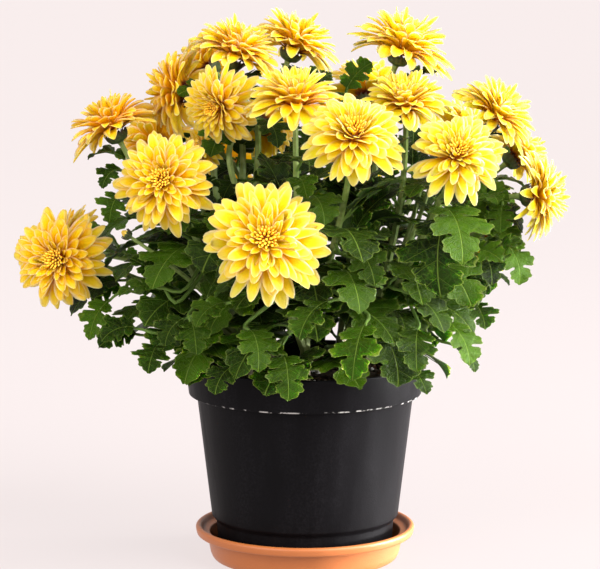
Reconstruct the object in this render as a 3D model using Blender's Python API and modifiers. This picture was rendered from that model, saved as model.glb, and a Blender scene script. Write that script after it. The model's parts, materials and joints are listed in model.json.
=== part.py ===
"""Pot chrysanthemum: five rooted cuttings in a plastic nursery pot of potting mix, on a saucer.

The origin is the centre of the saucer's flat underside, +Z is up and the front faces -Y.
Every number below is in millimetres or degrees, and make_object turns them into metres.
"""

import math
import random

import bmesh
import bpy
from mathutils import Vector
from mathutils.bvhtree import BVHTree

# Saucer: turned profile, from the middle of the floor out over the lip and back under.
SAUCER_FLOOR = 2.5
SAUCER_HEIGHT = 22.0
SAUCER_FOOT_RADIUS = 58.8
SAUCER_LIP_RADIUS = 71.5
SAUCER_LIP_UNDERSIDE = 16.2

# Pot: a thin wall with a recessed foot and a flared band at the top.
GAP = 0.3
POT_WALL = 1.6
POT_BASE = SAUCER_FLOOR + GAP
POT_FLOOR = 2.2
POT_TOP = 130.5
POT_TOP_RADIUS = 77.6
BAND_LOW = 109.0
BAND_LOW_RADIUS = 75.4
BODY_TOP_RADIUS = 70.3
STEP_HEIGHT = 28.8
STEP_RADIUS = 60.7
FOOT_RADIUS = 56.4
DRAIN_COUNT = 5
DRAIN_RADIUS = 4.0
DRAIN_CIRCLE = 40.0
TURNED_STEPS = 28

# Potting mix and the five cuttings in it.
SOIL_TOP = 118.0
PLANT_AZIMUTHS = (-90, -18, 54, 126, 198)
PLANT_CIRCLE = 38.0
MAIN_STEM_RADIUS = 3.5
MAIN_STEM_FOOT = 97.0
PINCH_HEIGHT = 158.0
PINCH_LEAN = 7.0
SHOOT_RADIUS = 2.5
PEDUNCLE_RADIUS = 1.6
CALYX_RADIUS = 7.0

# Flower heads: plant, middle of the underside (x, y, z), azimuth and elevation it faces, radius.
BLOOMS = (
    (5, (-154, -25, 200), (-105, 8), 32),
    (5, (-121, -5, 278), (175, 62), 30),
    (5, (-86, -80, 255), (-97, 15), 31),
    (1, (-24, -120, 223), (-88, 18), 37),
    (5, (-76, 6, 303), (168, 6), 30),
    (5, (-46, 8, 324), (0, 68), 31),
    (5, (-50, -44, 300), (-125, -6), 26),
    (4, (-9, 64, 325), (20, 66), 32),
    (1, (-6, -70, 299), (-90, 76), 31),
    (1, (29, -107, 282), (-86, 42), 31),
    (2, (60, 0, 327), (0, 70), 34),
    (2, (63, -35, 294), (-95, 72), 30),
    (2, (91, -95, 270), (-85, 34), 30),
    (2, (118, -10, 287), (-25, 50), 29),
    (2, (142, -30, 241), (-10, 4), 28),
    (3, (137, 50, 256), (15, 35), 26),
    (4, (-99, 95, 260), (125, 25), 28),
    (5, (-62, -4, 268), (-140, 20), 17),
    (1, (-27, -5, 283), (35, 6), 24),
    (4, (-150, 50, 196), (155, 8), 28),
    (4, (-55, 128, 240), (112, 22), 32),
    (3, (35, 135, 252), (82, 22), 32),
    (3, (103, 100, 262), (42, 32), 31),
    (3, (118, 84, 200), (28, 6), 28),
    (3, (42, 92, 292), (70, 55), 31),
    (4, (-63, 74, 314), (150, 38), 27),
)

# Buds: plant, tip (x, y, z), azimuth and elevation, radius.
BUDS = (
    (2, (78, -14, 282), (-80, 75), 5.2),
    (2, (88, -24, 278), (-50, 70), 6.0),
    (5, (-114, -60, 222), (-160, 35), 3.2),
    (4, (-20, 110, 268), (100, 60), 5.0),
)

# Leaves that give the plant its outline: plant, shoot and step along it,
# then azimuth, rise, droop, roll and length.
SHAPING_LEAVES = (
    (5, 0, 13, (205, 5, 70, -10, 46)),
    (5, 0, 9, (222, 0, 65, 8, 44)),
    (5, 0, 6, (238, 10, 85, -6, 46)),
    (5, 1, 15, (196, 20, 95, 0, 42)),
    (5, 1, 12, (176, 15, 80, 10, 46)),
    (5, 2, 12, (215, 10, 80, 0, 50)),
    (2, 4, 15, (-22, 25, 85, 5, 46)),
    (2, 4, 12, (-40, 5, 65, -10, 48)),
    (2, 2, 17, (-72, 12, 100, 0, 56)),
    (2, 2, 10, (-48, 10, 85, 10, 54)),
    (1, 2, 13, (-80, 22, 75, 0, 52)),
    (1, 2, 9, (-66, 15, 90, 0, 54)),
    (2, 0, 20, (185, 35, 55, 0, 40)),
    (4, 1, 20, (-12, 25, 60, 0, 38)),
)

# Each layer of a head: petals, then radius and height as shares of the head's radius.
# The outer petals have side corners. The inner ones stand up and only end bluntly.
LAYERS = (
    dict(count=10, root=(0.50, 0.09), rib=(0.68, 0.10), side=(0.82, 0.07), tip=(1.00, -0.13), width=0.215),
    dict(count=8, root=(0.42, 0.28), rib=(0.60, 0.37), side=None, tip=(0.84, 0.38), width=0.140),
    dict(count=5, root=(0.29, 0.49), rib=(0.40, 0.60), side=None, tip=(0.54, 0.76), width=0.120),
)
COLLARS = ((0.28, 0.17), (0.21, 0.37), (0.13, 0.54))
CROWN = (0.06, 0.70)
HEAD_FOOT_RADIUS = 4.6
PETAL_HALF_THICKNESS = 0.7

# Leaf: half an outline as shares of the blade's length, from the stalk to the tip.
LEAF_SIDE = (
    (0.00, 0.020),
    (0.32, 0.320),
    (0.43, 0.130),
    (0.53, 0.290),
    (0.70, 0.385),
    (0.72, 0.150),
    (0.86, 0.215),
)
LEAF_RIB = (0.28, 0.50, 0.76)
LEAF_HALF_THICKNESS = 0.6
STALK_HALF = 0.9
STALK_LENGTH = 9.0
FOLD = 0.20
CURL = 0.006


def material(name, colour, roughness):
    made = bpy.data.materials.new(name)
    made.use_nodes = True
    shader = made.node_tree.nodes["Principled BSDF"]
    shader.inputs["Base Color"].default_value = (*colour, 1.0)
    shader.inputs["Roughness"].default_value = roughness
    made.diffuse_color = (*colour, 1.0)
    return made


def make_object(name, points, faces, skin, collection):
    mesh = bpy.data.meshes.new(name)
    mesh.from_pydata([tuple(c * 0.001 for c in point) for point in points], [], faces)
    mesh.materials.append(skin)
    made = bpy.data.objects.new(name, mesh)
    collection.objects.link(made)
    return made


def bake(obj):
    """Puts the object's evaluated mesh in place of its modifiers or its curve."""
    bpy.context.view_layer.update()
    graph = bpy.context.evaluated_depsgraph_get()
    mesh = bpy.data.meshes.new_from_object(obj.evaluated_get(graph))
    obj.modifiers.clear()
    obj.data = mesh


def turned(name, profile, skin, collection):
    """Spins a profile of (radius, height) pairs round Z. It starts and ends on the axis."""
    edges = [(i, i + 1) for i in range(len(profile) - 1)]
    mesh = bpy.data.meshes.new(name)
    mesh.from_pydata([(r * 0.001, 0.0, z * 0.001) for r, z in profile], edges, [])
    mesh.materials.append(skin)
    made = bpy.data.objects.new(name, mesh)
    collection.objects.link(made)
    screw = made.modifiers.new("Turn", "SCREW")
    screw.steps = TURNED_STEPS
    screw.render_steps = TURNED_STEPS
    screw.use_merge_vertices = True
    screw.merge_threshold = 0.00001
    screw.use_smooth_shade = False
    return made


def cylinder(name, centre, radius, bottom, top, sides, skin, collection):
    mesh = bpy.data.meshes.new(name)
    round_bar = bmesh.new()
    bmesh.ops.create_cone(
        round_bar,
        cap_ends=True,
        segments=sides,
        radius1=radius * 0.001,
        radius2=radius * 0.001,
        depth=(top - bottom) * 0.001,
    )
    round_bar.to_mesh(mesh)
    round_bar.free()
    mesh.materials.append(skin)
    made = bpy.data.objects.new(name, mesh)
    made.location = (centre[0] * 0.001, centre[1] * 0.001, (bottom + top) * 0.0005)
    made.display_type = "WIRE"
    collection.objects.link(made)
    return made


def combine(target, cutters, operation, solver="EXACT"):
    joined = target.modifiers.new("Combine", "BOOLEAN")
    joined.operation = operation
    joined.operand_type = "COLLECTION"
    joined.collection = cutters
    joined.solver = solver
    bake(target)
    for helper in list(cutters.objects):
        bpy.data.objects.remove(helper)
    bpy.data.collections.remove(cutters)


def helpers(name):
    made = bpy.data.collections.new(name)
    made.hide_render = True
    bpy.context.scene.collection.children.link(made)
    return made


def saucer_profile():
    lip = SAUCER_LIP_RADIUS
    under = SAUCER_LIP_UNDERSIDE
    foot = SAUCER_FOOT_RADIUS
    return (
        (0.0, SAUCER_FLOOR),
        (foot - 2.2, SAUCER_FLOOR),
        (foot + 0.9, 5.0),
        (foot + 3.2, under + 1.8),
        (foot + 7.4, under + 1.9),
        (foot + 8.8, SAUCER_HEIGHT - 0.8),
        (foot + 9.8, SAUCER_HEIGHT),
        (lip - 1.2, SAUCER_HEIGHT),
        (lip, SAUCER_HEIGHT - 1.2),
        (lip - 0.9, under),
        (foot + 5.2, under - 0.2),
        (foot + 2.9, 4.2),
        (foot + 1.6, 1.2),
        (foot, 0.0),
        (0.0, 0.0),
    )


def pot_inside():
    """The pot's inner wall from the floor up, as (radius, height)."""
    return (
        (FOOT_RADIUS - POT_WALL, POT_BASE + POT_FLOOR),
        (FOOT_RADIUS + 1.4 - POT_WALL, STEP_HEIGHT - 2.2),
        (STEP_RADIUS - POT_WALL, STEP_HEIGHT + 0.8),
        (BODY_TOP_RADIUS - POT_WALL, BAND_LOW + 1.8),
        (BAND_LOW_RADIUS - 1.8, BAND_LOW + 1.8),
        (POT_TOP_RADIUS - 1.9, POT_TOP - 0.6),
    )


def pot_profile():
    return (
        ((0.0, POT_BASE + POT_FLOOR),)
        + pot_inside()
        + (
            (POT_TOP_RADIUS - 1.4, POT_TOP),
            (POT_TOP_RADIUS - 0.5, POT_TOP),
            (POT_TOP_RADIUS, POT_TOP - 0.6),
            (BAND_LOW_RADIUS, BAND_LOW),
            (BODY_TOP_RADIUS, BAND_LOW),
            (STEP_RADIUS, STEP_HEIGHT),
            (FOOT_RADIUS + 1.4, STEP_HEIGHT - 3.0),
            (FOOT_RADIUS, POT_BASE + 0.8),
            (FOOT_RADIUS - 0.8, POT_BASE),
            (0.0, POT_BASE),
        )
    )


def build_pot(skin, collection):
    pot = turned("pot", pot_profile(), skin, collection)
    drains = helpers("drain_cutters")
    for i in range(DRAIN_COUNT):
        angle = math.tau * (i + 0.5) / DRAIN_COUNT
        centre = (DRAIN_CIRCLE * math.cos(angle), DRAIN_CIRCLE * math.sin(angle))
        cylinder(f"drain_{i}", centre, DRAIN_RADIUS, POT_BASE - 1, POT_BASE + 4, 8, skin, drains)
    combine(pot, drains, "DIFFERENCE")
    return pot


def plant_foot(azimuth):
    angle = math.radians(azimuth)
    return Vector((PLANT_CIRCLE * math.cos(angle), PLANT_CIRCLE * math.sin(angle), 0.0))


def build_soil(skin, collection):
    inside = pot_inside()
    shelf = inside[4]
    profile = [(0.0, SOIL_TOP + 1.0), (0.6 * shelf[0], SOIL_TOP)]
    profile += [(shelf[0] + 0.3, SOIL_TOP - 1.6), (shelf[0] - GAP, shelf[1] + GAP)]
    profile += [(inside[3][0] - GAP, inside[3][1] + GAP)]
    profile += [(r - GAP, z + GAP) for r, z in reversed(inside[:3])]
    profile += [(0.0, POT_BASE + POT_FLOOR + GAP)]
    soil = turned("soil", profile, skin, collection)
    holes = helpers("stem_holes")
    for i, azimuth in enumerate(PLANT_AZIMUTHS):
        foot = plant_foot(azimuth)
        cylinder(f"hole_{i}", foot, MAIN_STEM_RADIUS + 0.8, MAIN_STEM_FOOT - GAP, 125, 8, skin, holes)
    combine(soil, holes, "DIFFERENCE")
    return soil


def towards(azimuth, elevation):
    """Unit vector at an azimuth from +X and an elevation, in degrees."""
    a = math.radians(azimuth)
    e = math.radians(elevation)
    return Vector((math.cos(a) * math.cos(e), math.sin(a) * math.cos(e), math.sin(e)))


def band(outer, inner, points, faces, flip):
    """Fills between two closed loops of point numbers that both run anticlockwise seen from above."""

    def angles(loop):
        return [math.atan2(points[i][1], points[i][0]) for i in loop]

    def unwound(values):
        total = [values[0]]
        for value in values[1:]:
            total.append(total[-1] + (value - total[-1]) % math.tau)
        return total + [total[0] + math.tau]

    first = angles(outer)[0]
    away = [abs(math.remainder(angle - first, math.tau)) for angle in angles(inner)]
    start = away.index(min(away))
    inner = inner[start:] + inner[:start]
    out_angle = unwound(angles(outer))
    in_angle = unwound(angles(inner))
    shift = math.tau * round((out_angle[0] - in_angle[0]) / math.tau)
    i = j = 0
    while i < len(outer) or j < len(inner):
        a = outer[i % len(outer)]
        b = inner[j % len(inner)]
        next_out = out_angle[i + 1] if i < len(outer) else 1e9
        next_in = in_angle[j + 1] + shift if j < len(inner) else 1e9
        if next_out <= next_in:
            i += 1
            face = (a, outer[i % len(outer)], b)
        else:
            j += 1
            face = (a, inner[j % len(inner)], b)
        faces.append(face[::-1] if flip else face)


def bloom_solid(radius, seed):
    """One flower head as a single skin that runs out and back along each layer of petals."""
    draw = random.Random(seed)
    points = []
    faces = []

    def add(r, z, angle):
        points.append((r * math.cos(angle), r * math.sin(angle), z))
        return len(points) - 1

    below = [add(HEAD_FOOT_RADIUS, 0.0, math.tau * i / 6) for i in range(6)]
    faces.append(tuple(reversed(below)))
    for layer, collar in zip(LAYERS, COLLARS):
        count = layer["count"]
        turn = draw.uniform(0, math.tau / count)
        step = math.tau / count
        under = []
        over = []
        root = [
            add(layer["root"][0] * radius, layer["root"][1] * radius, turn + (i - 0.5) * step)
            for i in range(count)
        ]
        for i in range(count):
            angle = turn + i * step + draw.uniform(-0.07, 0.07)
            long = draw.uniform(0.92, 1.05)
            lift = draw.uniform(-0.04, 0.05) * radius
            rib_r, rib_z = layer["rib"][0] * radius, layer["rib"][1] * radius + 0.4 * lift
            tip_r, tip_z = layer["tip"][0] * radius * long, layer["tip"][1] * radius + lift
            low = add(rib_r, rib_z - PETAL_HALF_THICKNESS, angle)
            high = add(rib_r, rib_z + PETAL_HALF_THICKNESS, angle)
            if layer["side"]:
                side_r, side_z = layer["side"][0] * radius * long, layer["side"][1] * radius + 0.7 * lift
                spread = math.atan2(layer["width"] * radius, side_r)
                twist = draw.uniform(-0.08, 0.08) * radius
                ends = [add(side_r, side_z + twist, angle - spread), add(tip_r, tip_z, angle)]
                ends.append(add(side_r, side_z - twist, angle + spread))
            else:
                spread = math.atan2(layer["width"] * radius, tip_r)
                ends = [add(tip_r, tip_z, angle - spread), add(tip_r * 0.97, tip_z, angle + spread)]
            edge = [root[i], *ends, root[(i + 1) % count]]
            for a, b in zip(edge, edge[1:]):
                faces.append((a, b, high))
                faces.append((b, a, low))
            under += [root[i], low]
            over += [root[i], high]
        band(under, below, points, faces, True)
        below = [add(collar[0] * radius, collar[1] * radius, turn + i * step) for i in range(count)]
        band(over, below, points, faces, False)
    crown = [add(CROWN[0] * radius, CROWN[1] * radius, math.tau * i / 3) for i in range(3)]
    band(below, crown, points, faces, False)
    faces.append(tuple(crown))
    return points, faces


def build_bloom(number, row, skin, collection):
    _, base, facing, radius = row
    points, faces = bloom_solid(radius, number)
    turn = Vector((0, 0, 1)).rotation_difference(towards(*facing)).to_matrix()
    placed = [turn @ Vector(p) + Vector(base) for p in points]
    return make_object(f"bloom_{number:02d}", placed, faces, skin, collection)


def main_stem(plant):
    """The rooted cutting: straight up out of the mix, then leaning out to where it was pinched."""
    foot = plant_foot(PLANT_AZIMUTHS[plant - 1])
    out = foot.normalized()
    return [
        foot + Vector((0, 0, MAIN_STEM_FOOT)),
        foot + Vector((0, 0, SOIL_TOP + 4)),
        foot + out * PINCH_LEAN * 0.4 + Vector((0, 0, 138)),
        foot + out * PINCH_LEAN + Vector((0, 0, PINCH_HEIGHT)),
    ]


def shoot_path(plant, order, end, axis, count):
    """Points of a side shoot: a smooth curve from the main stem to just below its flower head."""
    stem = main_stem(plant)
    start = stem[2].lerp(stem[3], 0.15 + 0.75 * (order % 4) / 3)
    reach = (end - start).length
    level = Vector((end.x - start.x, end.y - start.y, 0.0))
    lean = level.normalized() * min(0.9, level.length / 90) + Vector((0, 0, 1))
    first = start + lean.normalized() * 0.36 * reach
    last = end - axis * 0.36 * reach
    path = []
    for i in range(count):
        t = i / (count - 1)
        path.append(
            start * (1 - t) ** 3 + first * 3 * t * (1 - t) ** 2 + last * 3 * t * t * (1 - t) + end * t**3
        )
    return path


def tube(name, path, radii, skin, collection, rounding=0):
    """A closed tube along points, with a radius at each. It has four sides, or six with a rounding of 1."""
    curve = bpy.data.curves.new(name, "CURVE")
    curve.dimensions = "3D"
    curve.bevel_depth = 0.001
    curve.bevel_resolution = rounding
    curve.use_fill_caps = True
    spline = curve.splines.new("POLY")
    spline.points.add(len(path) - 1)
    for point, place, radius in zip(spline.points, path, radii):
        point.co = (place.x * 0.001, place.y * 0.001, place.z * 0.001, 1.0)
        point.radius = radius
    guide = bpy.data.objects.new(name + "_line", curve)
    collection.objects.link(guide)
    bpy.context.view_layer.update()
    graph = bpy.context.evaluated_depsgraph_get()
    mesh = bpy.data.meshes.new_from_object(guide.evaluated_get(graph))
    mesh.transform(guide.matrix_world)
    bpy.data.objects.remove(guide)
    skinned = bmesh.new()
    skinned.from_mesh(mesh)
    bmesh.ops.remove_doubles(skinned, verts=skinned.verts, dist=0.000001)
    bmesh.ops.recalc_face_normals(skinned, faces=skinned.faces)
    skinned.to_mesh(mesh)
    skinned.free()
    mesh.materials.clear()
    mesh.materials.append(skin)
    made = bpy.data.objects.new(name, mesh)
    collection.objects.link(made)
    return made


def shoot_with_calyx(name, plant, order, row, skin, collection):
    _, base, facing, radius = row
    axis = towards(*facing)
    top = Vector(base) - axis * GAP
    end = top - axis * 9
    count = 6 if facing[1] < 30 else 5
    path = shoot_path(plant, order, end, axis, count)
    radii = [SHOOT_RADIUS + (PEDUNCLE_RADIUS - SHOOT_RADIUS) * i / (count - 1) for i in range(count)]
    share = min(1.0, radius / 28)
    for back, wide in ((5.5, 0.42), (3.0, 0.85), (0.0, 1.0)):
        path.append(top - axis * back)
        radii.append(CALYX_RADIUS * wide * share)
    return tube(name, path, radii, skin, collection)


def shoot_with_bud(name, plant, order, row, skin, collection):
    _, tip, facing, radius = row
    axis = towards(*facing)
    path = shoot_path(plant, order, Vector(tip) - axis * 2 * radius, axis, 5)
    radii = [SHOOT_RADIUS * 0.8 + (1.0 - SHOOT_RADIUS * 0.8) * i / 4 for i in range(5)]
    for ahead, wide in ((0.4, 0.8), (1.2, 1.0), (2.0, 0.25)):
        path.append(Vector(tip) - axis * (2 - ahead) * radius)
        radii.append(radius * wide)
    return tube(name, path, radii, skin, collection)


def leaf_solid(root, azimuth, rise, droop, roll, length, swell=0.0):
    """A lobed blade on its stalk, arched down from where it leaves the stem. Faces match on both sides."""
    heading = towards(azimuth, 0)
    rolled = math.radians(roll)
    bend = math.radians(droop)
    start = math.radians(rise)

    def frame(s):
        e = start - bend * max(s, 0.0) / length
        along = heading * math.cos(e) + Vector((0, 0, math.sin(e)))
        normal = Vector((0, 0, math.cos(e))) - heading * math.sin(e)
        side = along.cross(normal)
        up = normal * math.cos(rolled) + side * math.sin(rolled)
        return e, along, up, side * math.cos(rolled) - normal * math.sin(rolled)

    def place(s, w, off):
        e, along, normal, side = frame(s)
        if s <= 0:
            middle = root + along * (STALK_LENGTH + s)
        else:
            rad = length / bend
            level = rad * (math.sin(start) - math.sin(e))
            high = rad * (math.cos(e) - math.cos(start))
            _, first, _, _ = frame(0)
            middle = root + first * STALK_LENGTH + heading * level + Vector((0, 0, high))
        lift = FOLD * abs(w) - CURL * w * w
        return middle + side * w + normal * (lift + off)

    half = LEAF_HALF_THICKNESS + swell
    stalk = STALK_HALF + swell
    points = []
    for s in (-STALK_LENGTH, 0.0):
        wide = stalk if s < 0 else LEAF_SIDE[0][1] * length
        points += [place(s, 0, stalk), place(s, wide, 0), place(s, 0, -stalk), place(s, -wide, 0)]
    right = [5]
    left = [7]
    for s, w in LEAF_SIDE[1:]:
        points.append(place(s * length, w * length, 0))
        right.append(len(points) - 1)
        points.append(place(s * length, -w * length, 0))
        left.append(len(points) - 1)
    points.append(place(length, 0, 0))
    tip = len(points) - 1
    over = [4]
    under = [6]
    for s in LEAF_RIB:
        points.append(place(s * length, 0, half))
        over.append(len(points) - 1)
        points.append(place(s * length, 0, -half))
        under.append(len(points) - 1)
    faces = [(3, 2, 1, 0), (1, 5, 4, 0), (2, 6, 5, 1), (3, 7, 6, 2), (0, 4, 7, 3)]
    fans = ((0, 0, 1), (1, 1, 2), (2, 2, 5), (3, 5, 6))
    quarters = ((over, right, False), (over, left, True), (under, right, True), (under, left, False))
    for rib, side, flip in quarters:
        edge = side + [tip]
        for k, low, high in fans:
            new = [(rib[k], edge[i], edge[i + 1]) for i in range(low, high)]
            if k < 3:
                new.append((rib[k], edge[high], rib[k + 1]))
            else:
                new.append((rib[k], edge[6], tip))
            faces += [face[::-1] if flip else face for face in new]
    return points, faces


def leaf_choices(seed, wish):
    """Ways one leaf could sit, the wished one first: azimuth, rise, droop, roll and length."""
    draw = random.Random(seed)
    azimuth, rise, droop, roll, length = wish
    choices = []
    for i in range(26):
        choices.append((
            azimuth + draw.uniform(-5, 5) * i,
            rise + draw.uniform(-1.5, 1.5) * i,
            droop + draw.uniform(-1.6, 1.2) * i,
            roll + draw.uniform(-1, 1) * i,
            length * (1 - 0.012 * i),
        ))
    return choices


def leaf_slots():
    """Where leaves leave the stems: plant, shoot, seed, root point and how the leaf would like to sit."""
    slots = []
    paths = {}
    for plant in range(1, 6):
        for order, (_, base, facing, radius) in enumerate(row for row in BLOOMS if row[0] == plant):
            axis = towards(*facing)
            paths[plant, order] = shoot_path(plant, order, Vector(base) - axis * (GAP + 9), axis, 25)
    for i, (plant, order, step, wish) in enumerate(SHAPING_LEAVES):
        slots.append((plant, order, 9000 + i, paths[plant, order][step], wish))
    draw = random.Random(11)
    for plant in range(1, 6):
        stem = main_stem(plant)
        out = PLANT_AZIMUTHS[plant - 1]
        for i, turn in enumerate((-62, 34, -14, 66, 12)):
            root = stem[1].lerp(stem[2], 0.2 + 0.2 * i)
            wish = (out + turn, draw.uniform(22, 38), draw.uniform(85, 110), draw.uniform(-12, 12), 60)
            slots.append((plant, None, 7000 + plant * 10 + i, root, wish))
    for i, (step, size) in enumerate(((4, 60), (9, 56), (14, 48), (18, 34))):
        for (plant, order), path in paths.items():
            if (i == 3 and order % 4) or (i == 2 and (order + plant) % 2):
                continue
            root = path[step]
            radial = math.degrees(math.atan2(root.y, root.x)) + 40 * ((i + order) % 3 - 1)
            radial += draw.uniform(-14, 14) + (150 if i == 2 else 0)
            wish = (radial, draw.uniform(10, 42), draw.uniform(60, 100), draw.uniform(-18, 18), size)
            slots.append((plant, order, plant * 1000 + order * 10 + i, root, wish))
    return slots


def tree_of(points, faces):
    return BVHTree.FromPolygons([tuple(p) for p in points], faces)


def tree_of_object(obj):
    points = [tuple(1000 * c for c in vertex.co) for vertex in obj.data.vertices]
    return BVHTree.FromPolygons(points, [tuple(face.vertices) for face in obj.data.polygons])


def place_leaves(stems, fixed):
    """Leaves that clear all that stands, each taking the first of its choices that does."""
    found = []
    blades = []
    for plant, shoot, seed, root, wish in leaf_slots():
        near = [tree for owner, order, tree in stems if (owner, order) != (plant, shoot)]
        blocked = fixed + blades + near
        for choice in leaf_choices(seed, wish):
            around = tree_of(*leaf_solid(root, *choice, swell=0.5))
            if not any(around.overlap(tree) for tree in blocked):
                found.append((plant, *leaf_solid(root, *choice)))
                blades.append(around)
                break
    return found


def clear_scene():
    for obj in list(bpy.data.objects):
        bpy.data.objects.remove(obj)


def finish(obj):
    obj.data.shade_smooth()
    obj.data.set_sharp_from_angle(angle=math.radians(32))


def build():
    clear_scene()
    model = bpy.data.collections.new("pot_chrysanthemum")
    bpy.context.scene.collection.children.link(model)
    petal = material("petal_yellow", (0.95, 0.62, 0.03), 0.55)
    green = material("leaf_green", (0.05, 0.13, 0.03), 0.5)
    black = material("pot_black", (0.02, 0.02, 0.022), 0.4)
    terracotta = material("saucer_terracotta", (0.55, 0.16, 0.05), 0.5)
    brown = material("potting_mix", (0.05, 0.03, 0.02), 0.95)

    saucer = turned("saucer", saucer_profile(), terracotta, model)
    bake(saucer)
    pot = build_pot(black, model)
    soil = build_soil(brown, model)
    heads = [build_bloom(i + 1, row, petal, model) for i, row in enumerate(BLOOMS)]

    pieces = {plant: helpers(f"pieces_{plant}") for plant in range(1, 6)}
    whole = {}
    stems = []
    for plant in range(1, 6):
        radii = [MAIN_STEM_RADIUS, MAIN_STEM_RADIUS, MAIN_STEM_RADIUS - 0.2, MAIN_STEM_RADIUS - 0.6]
        whole[plant] = tube(f"plant_{plant}", main_stem(plant), radii, green, model, 1)
        stems.append((plant, None, tree_of_object(whole[plant])))
        rows = [row for row in BLOOMS if row[0] == plant]
        buds = [row for row in BUDS if row[0] == plant]
        for i, row in enumerate(rows):
            made = shoot_with_calyx(f"shoot_{plant}_{i}", plant, i, row, green, pieces[plant])
            stems.append((plant, i, tree_of_object(made)))
        for i, row in enumerate(buds):
            made = shoot_with_bud(f"bud_{plant}_{i}", plant, i + 2, row, green, pieces[plant])
            stems.append((plant, -1 - i, tree_of_object(made)))
    fixed = [tree_of_object(obj) for obj in [saucer, pot, soil] + heads]
    leaves = place_leaves(stems, fixed)
    for i, (plant, points, faces) in enumerate(leaves):
        make_object(f"leaf_{i}", points, faces, green, pieces[plant])
    for plant in range(1, 6):
        combine(whole[plant], pieces[plant], "UNION", "MANIFOLD")
    for obj in model.objects:
        finish(obj)


build()
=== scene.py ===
import json
import math
import random

import bmesh
import bpy
import numpy as np
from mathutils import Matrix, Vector
from mathutils.bvhtree import BVHTree

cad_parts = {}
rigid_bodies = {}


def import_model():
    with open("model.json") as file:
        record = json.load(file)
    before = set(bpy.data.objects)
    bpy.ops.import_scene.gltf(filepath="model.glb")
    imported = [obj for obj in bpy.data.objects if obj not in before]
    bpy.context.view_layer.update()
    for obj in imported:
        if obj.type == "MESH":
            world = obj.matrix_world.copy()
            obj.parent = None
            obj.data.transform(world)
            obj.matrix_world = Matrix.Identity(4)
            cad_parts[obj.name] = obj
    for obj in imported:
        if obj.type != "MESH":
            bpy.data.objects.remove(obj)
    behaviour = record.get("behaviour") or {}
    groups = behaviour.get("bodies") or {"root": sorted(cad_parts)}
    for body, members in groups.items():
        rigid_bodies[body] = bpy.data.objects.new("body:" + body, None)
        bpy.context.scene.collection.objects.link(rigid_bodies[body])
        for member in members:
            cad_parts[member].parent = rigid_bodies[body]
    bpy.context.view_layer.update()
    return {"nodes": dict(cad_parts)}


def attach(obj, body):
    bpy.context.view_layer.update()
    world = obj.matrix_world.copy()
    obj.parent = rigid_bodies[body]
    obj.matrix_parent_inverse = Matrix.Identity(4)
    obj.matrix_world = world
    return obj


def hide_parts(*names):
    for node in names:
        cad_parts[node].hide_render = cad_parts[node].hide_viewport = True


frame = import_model()

# Saucer. The real one is a thin terracotta-coloured polypropylene dish, injection moulded with a turned-down
# lip and an inner ledge. It stands flat on the floor and carries the pot. Sizes here are in millimetres.
MM = 0.001
TURNED_SEGMENTS = 128
SAUCER_FOOT = 58.8
SAUCER_LIP = 71.5
SAUCER_HIGH = 22.0
SAUCER_UNDER_LIP = 16.2
SAUCER_FLOOR = 2.5
SAUCER_COLOUR = (0.32, 0.085, 0.018)
SAUCER_LIGHT = (0.40, 0.125, 0.032)
SAUCER_SPECK = (0.30, 0.10, 0.04)


def rounded(profile, reach, steps=4):
    """Each corner of an outline becomes a parabola that leaves and joins its edges at most reach away."""
    corner = np.array(profile, float)
    before, after = corner[:-2] - corner[1:-1], corner[2:] - corner[1:-1]

    def cut(edge):
        long = np.linalg.norm(edge, axis=1, keepdims=True)
        return corner[1:-1] + edge / long * np.minimum(reach, 0.45 * long)

    t = np.linspace(0, 1, steps)[None, :, None]
    curve = (1 - t) ** 2 * cut(before)[:, None] + t**2 * cut(after)[:, None]
    curve += 2 * t * (1 - t) * corner[1:-1, None]
    return np.concatenate([corner[:1], curve.reshape(-1, 2), corner[-1:]])


def turned(profile, segments=TURNED_SEGMENTS):
    """Carries (radius, height) pairs round Z by radius times cosine and sine. Both ends lie on the axis."""
    ring = profile[1:-1]
    angle = np.linspace(0, math.tau, segments, endpoint=False)
    r, z = ring[:, :1], ring[:, 1:]
    rows = np.stack([r * np.cos(angle), r * np.sin(angle), z + 0 * angle], -1)
    poles = [(0, 0, profile[0, 1]), (0, 0, profile[-1, 1])]
    points = np.concatenate([rows.reshape(-1, 3), poles])
    i = np.arange(len(ring) - 1)[:, None] * segments
    j = np.arange(segments)[None, :]
    nxt = (j + 1) % segments
    quads = np.stack([i + j, i + segments + j, i + segments + nxt, i + nxt], -1).reshape(-1, 4)
    first, last = len(points) - 2, len(points) - 1
    base = (len(ring) - 1) * segments
    around = list(zip(j[0].tolist(), nxt[0].tolist()))
    caps = [(first, a, b) for a, b in around] + [(last, base + b, base + a) for a, b in around]
    return points, quads.tolist() + caps


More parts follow.
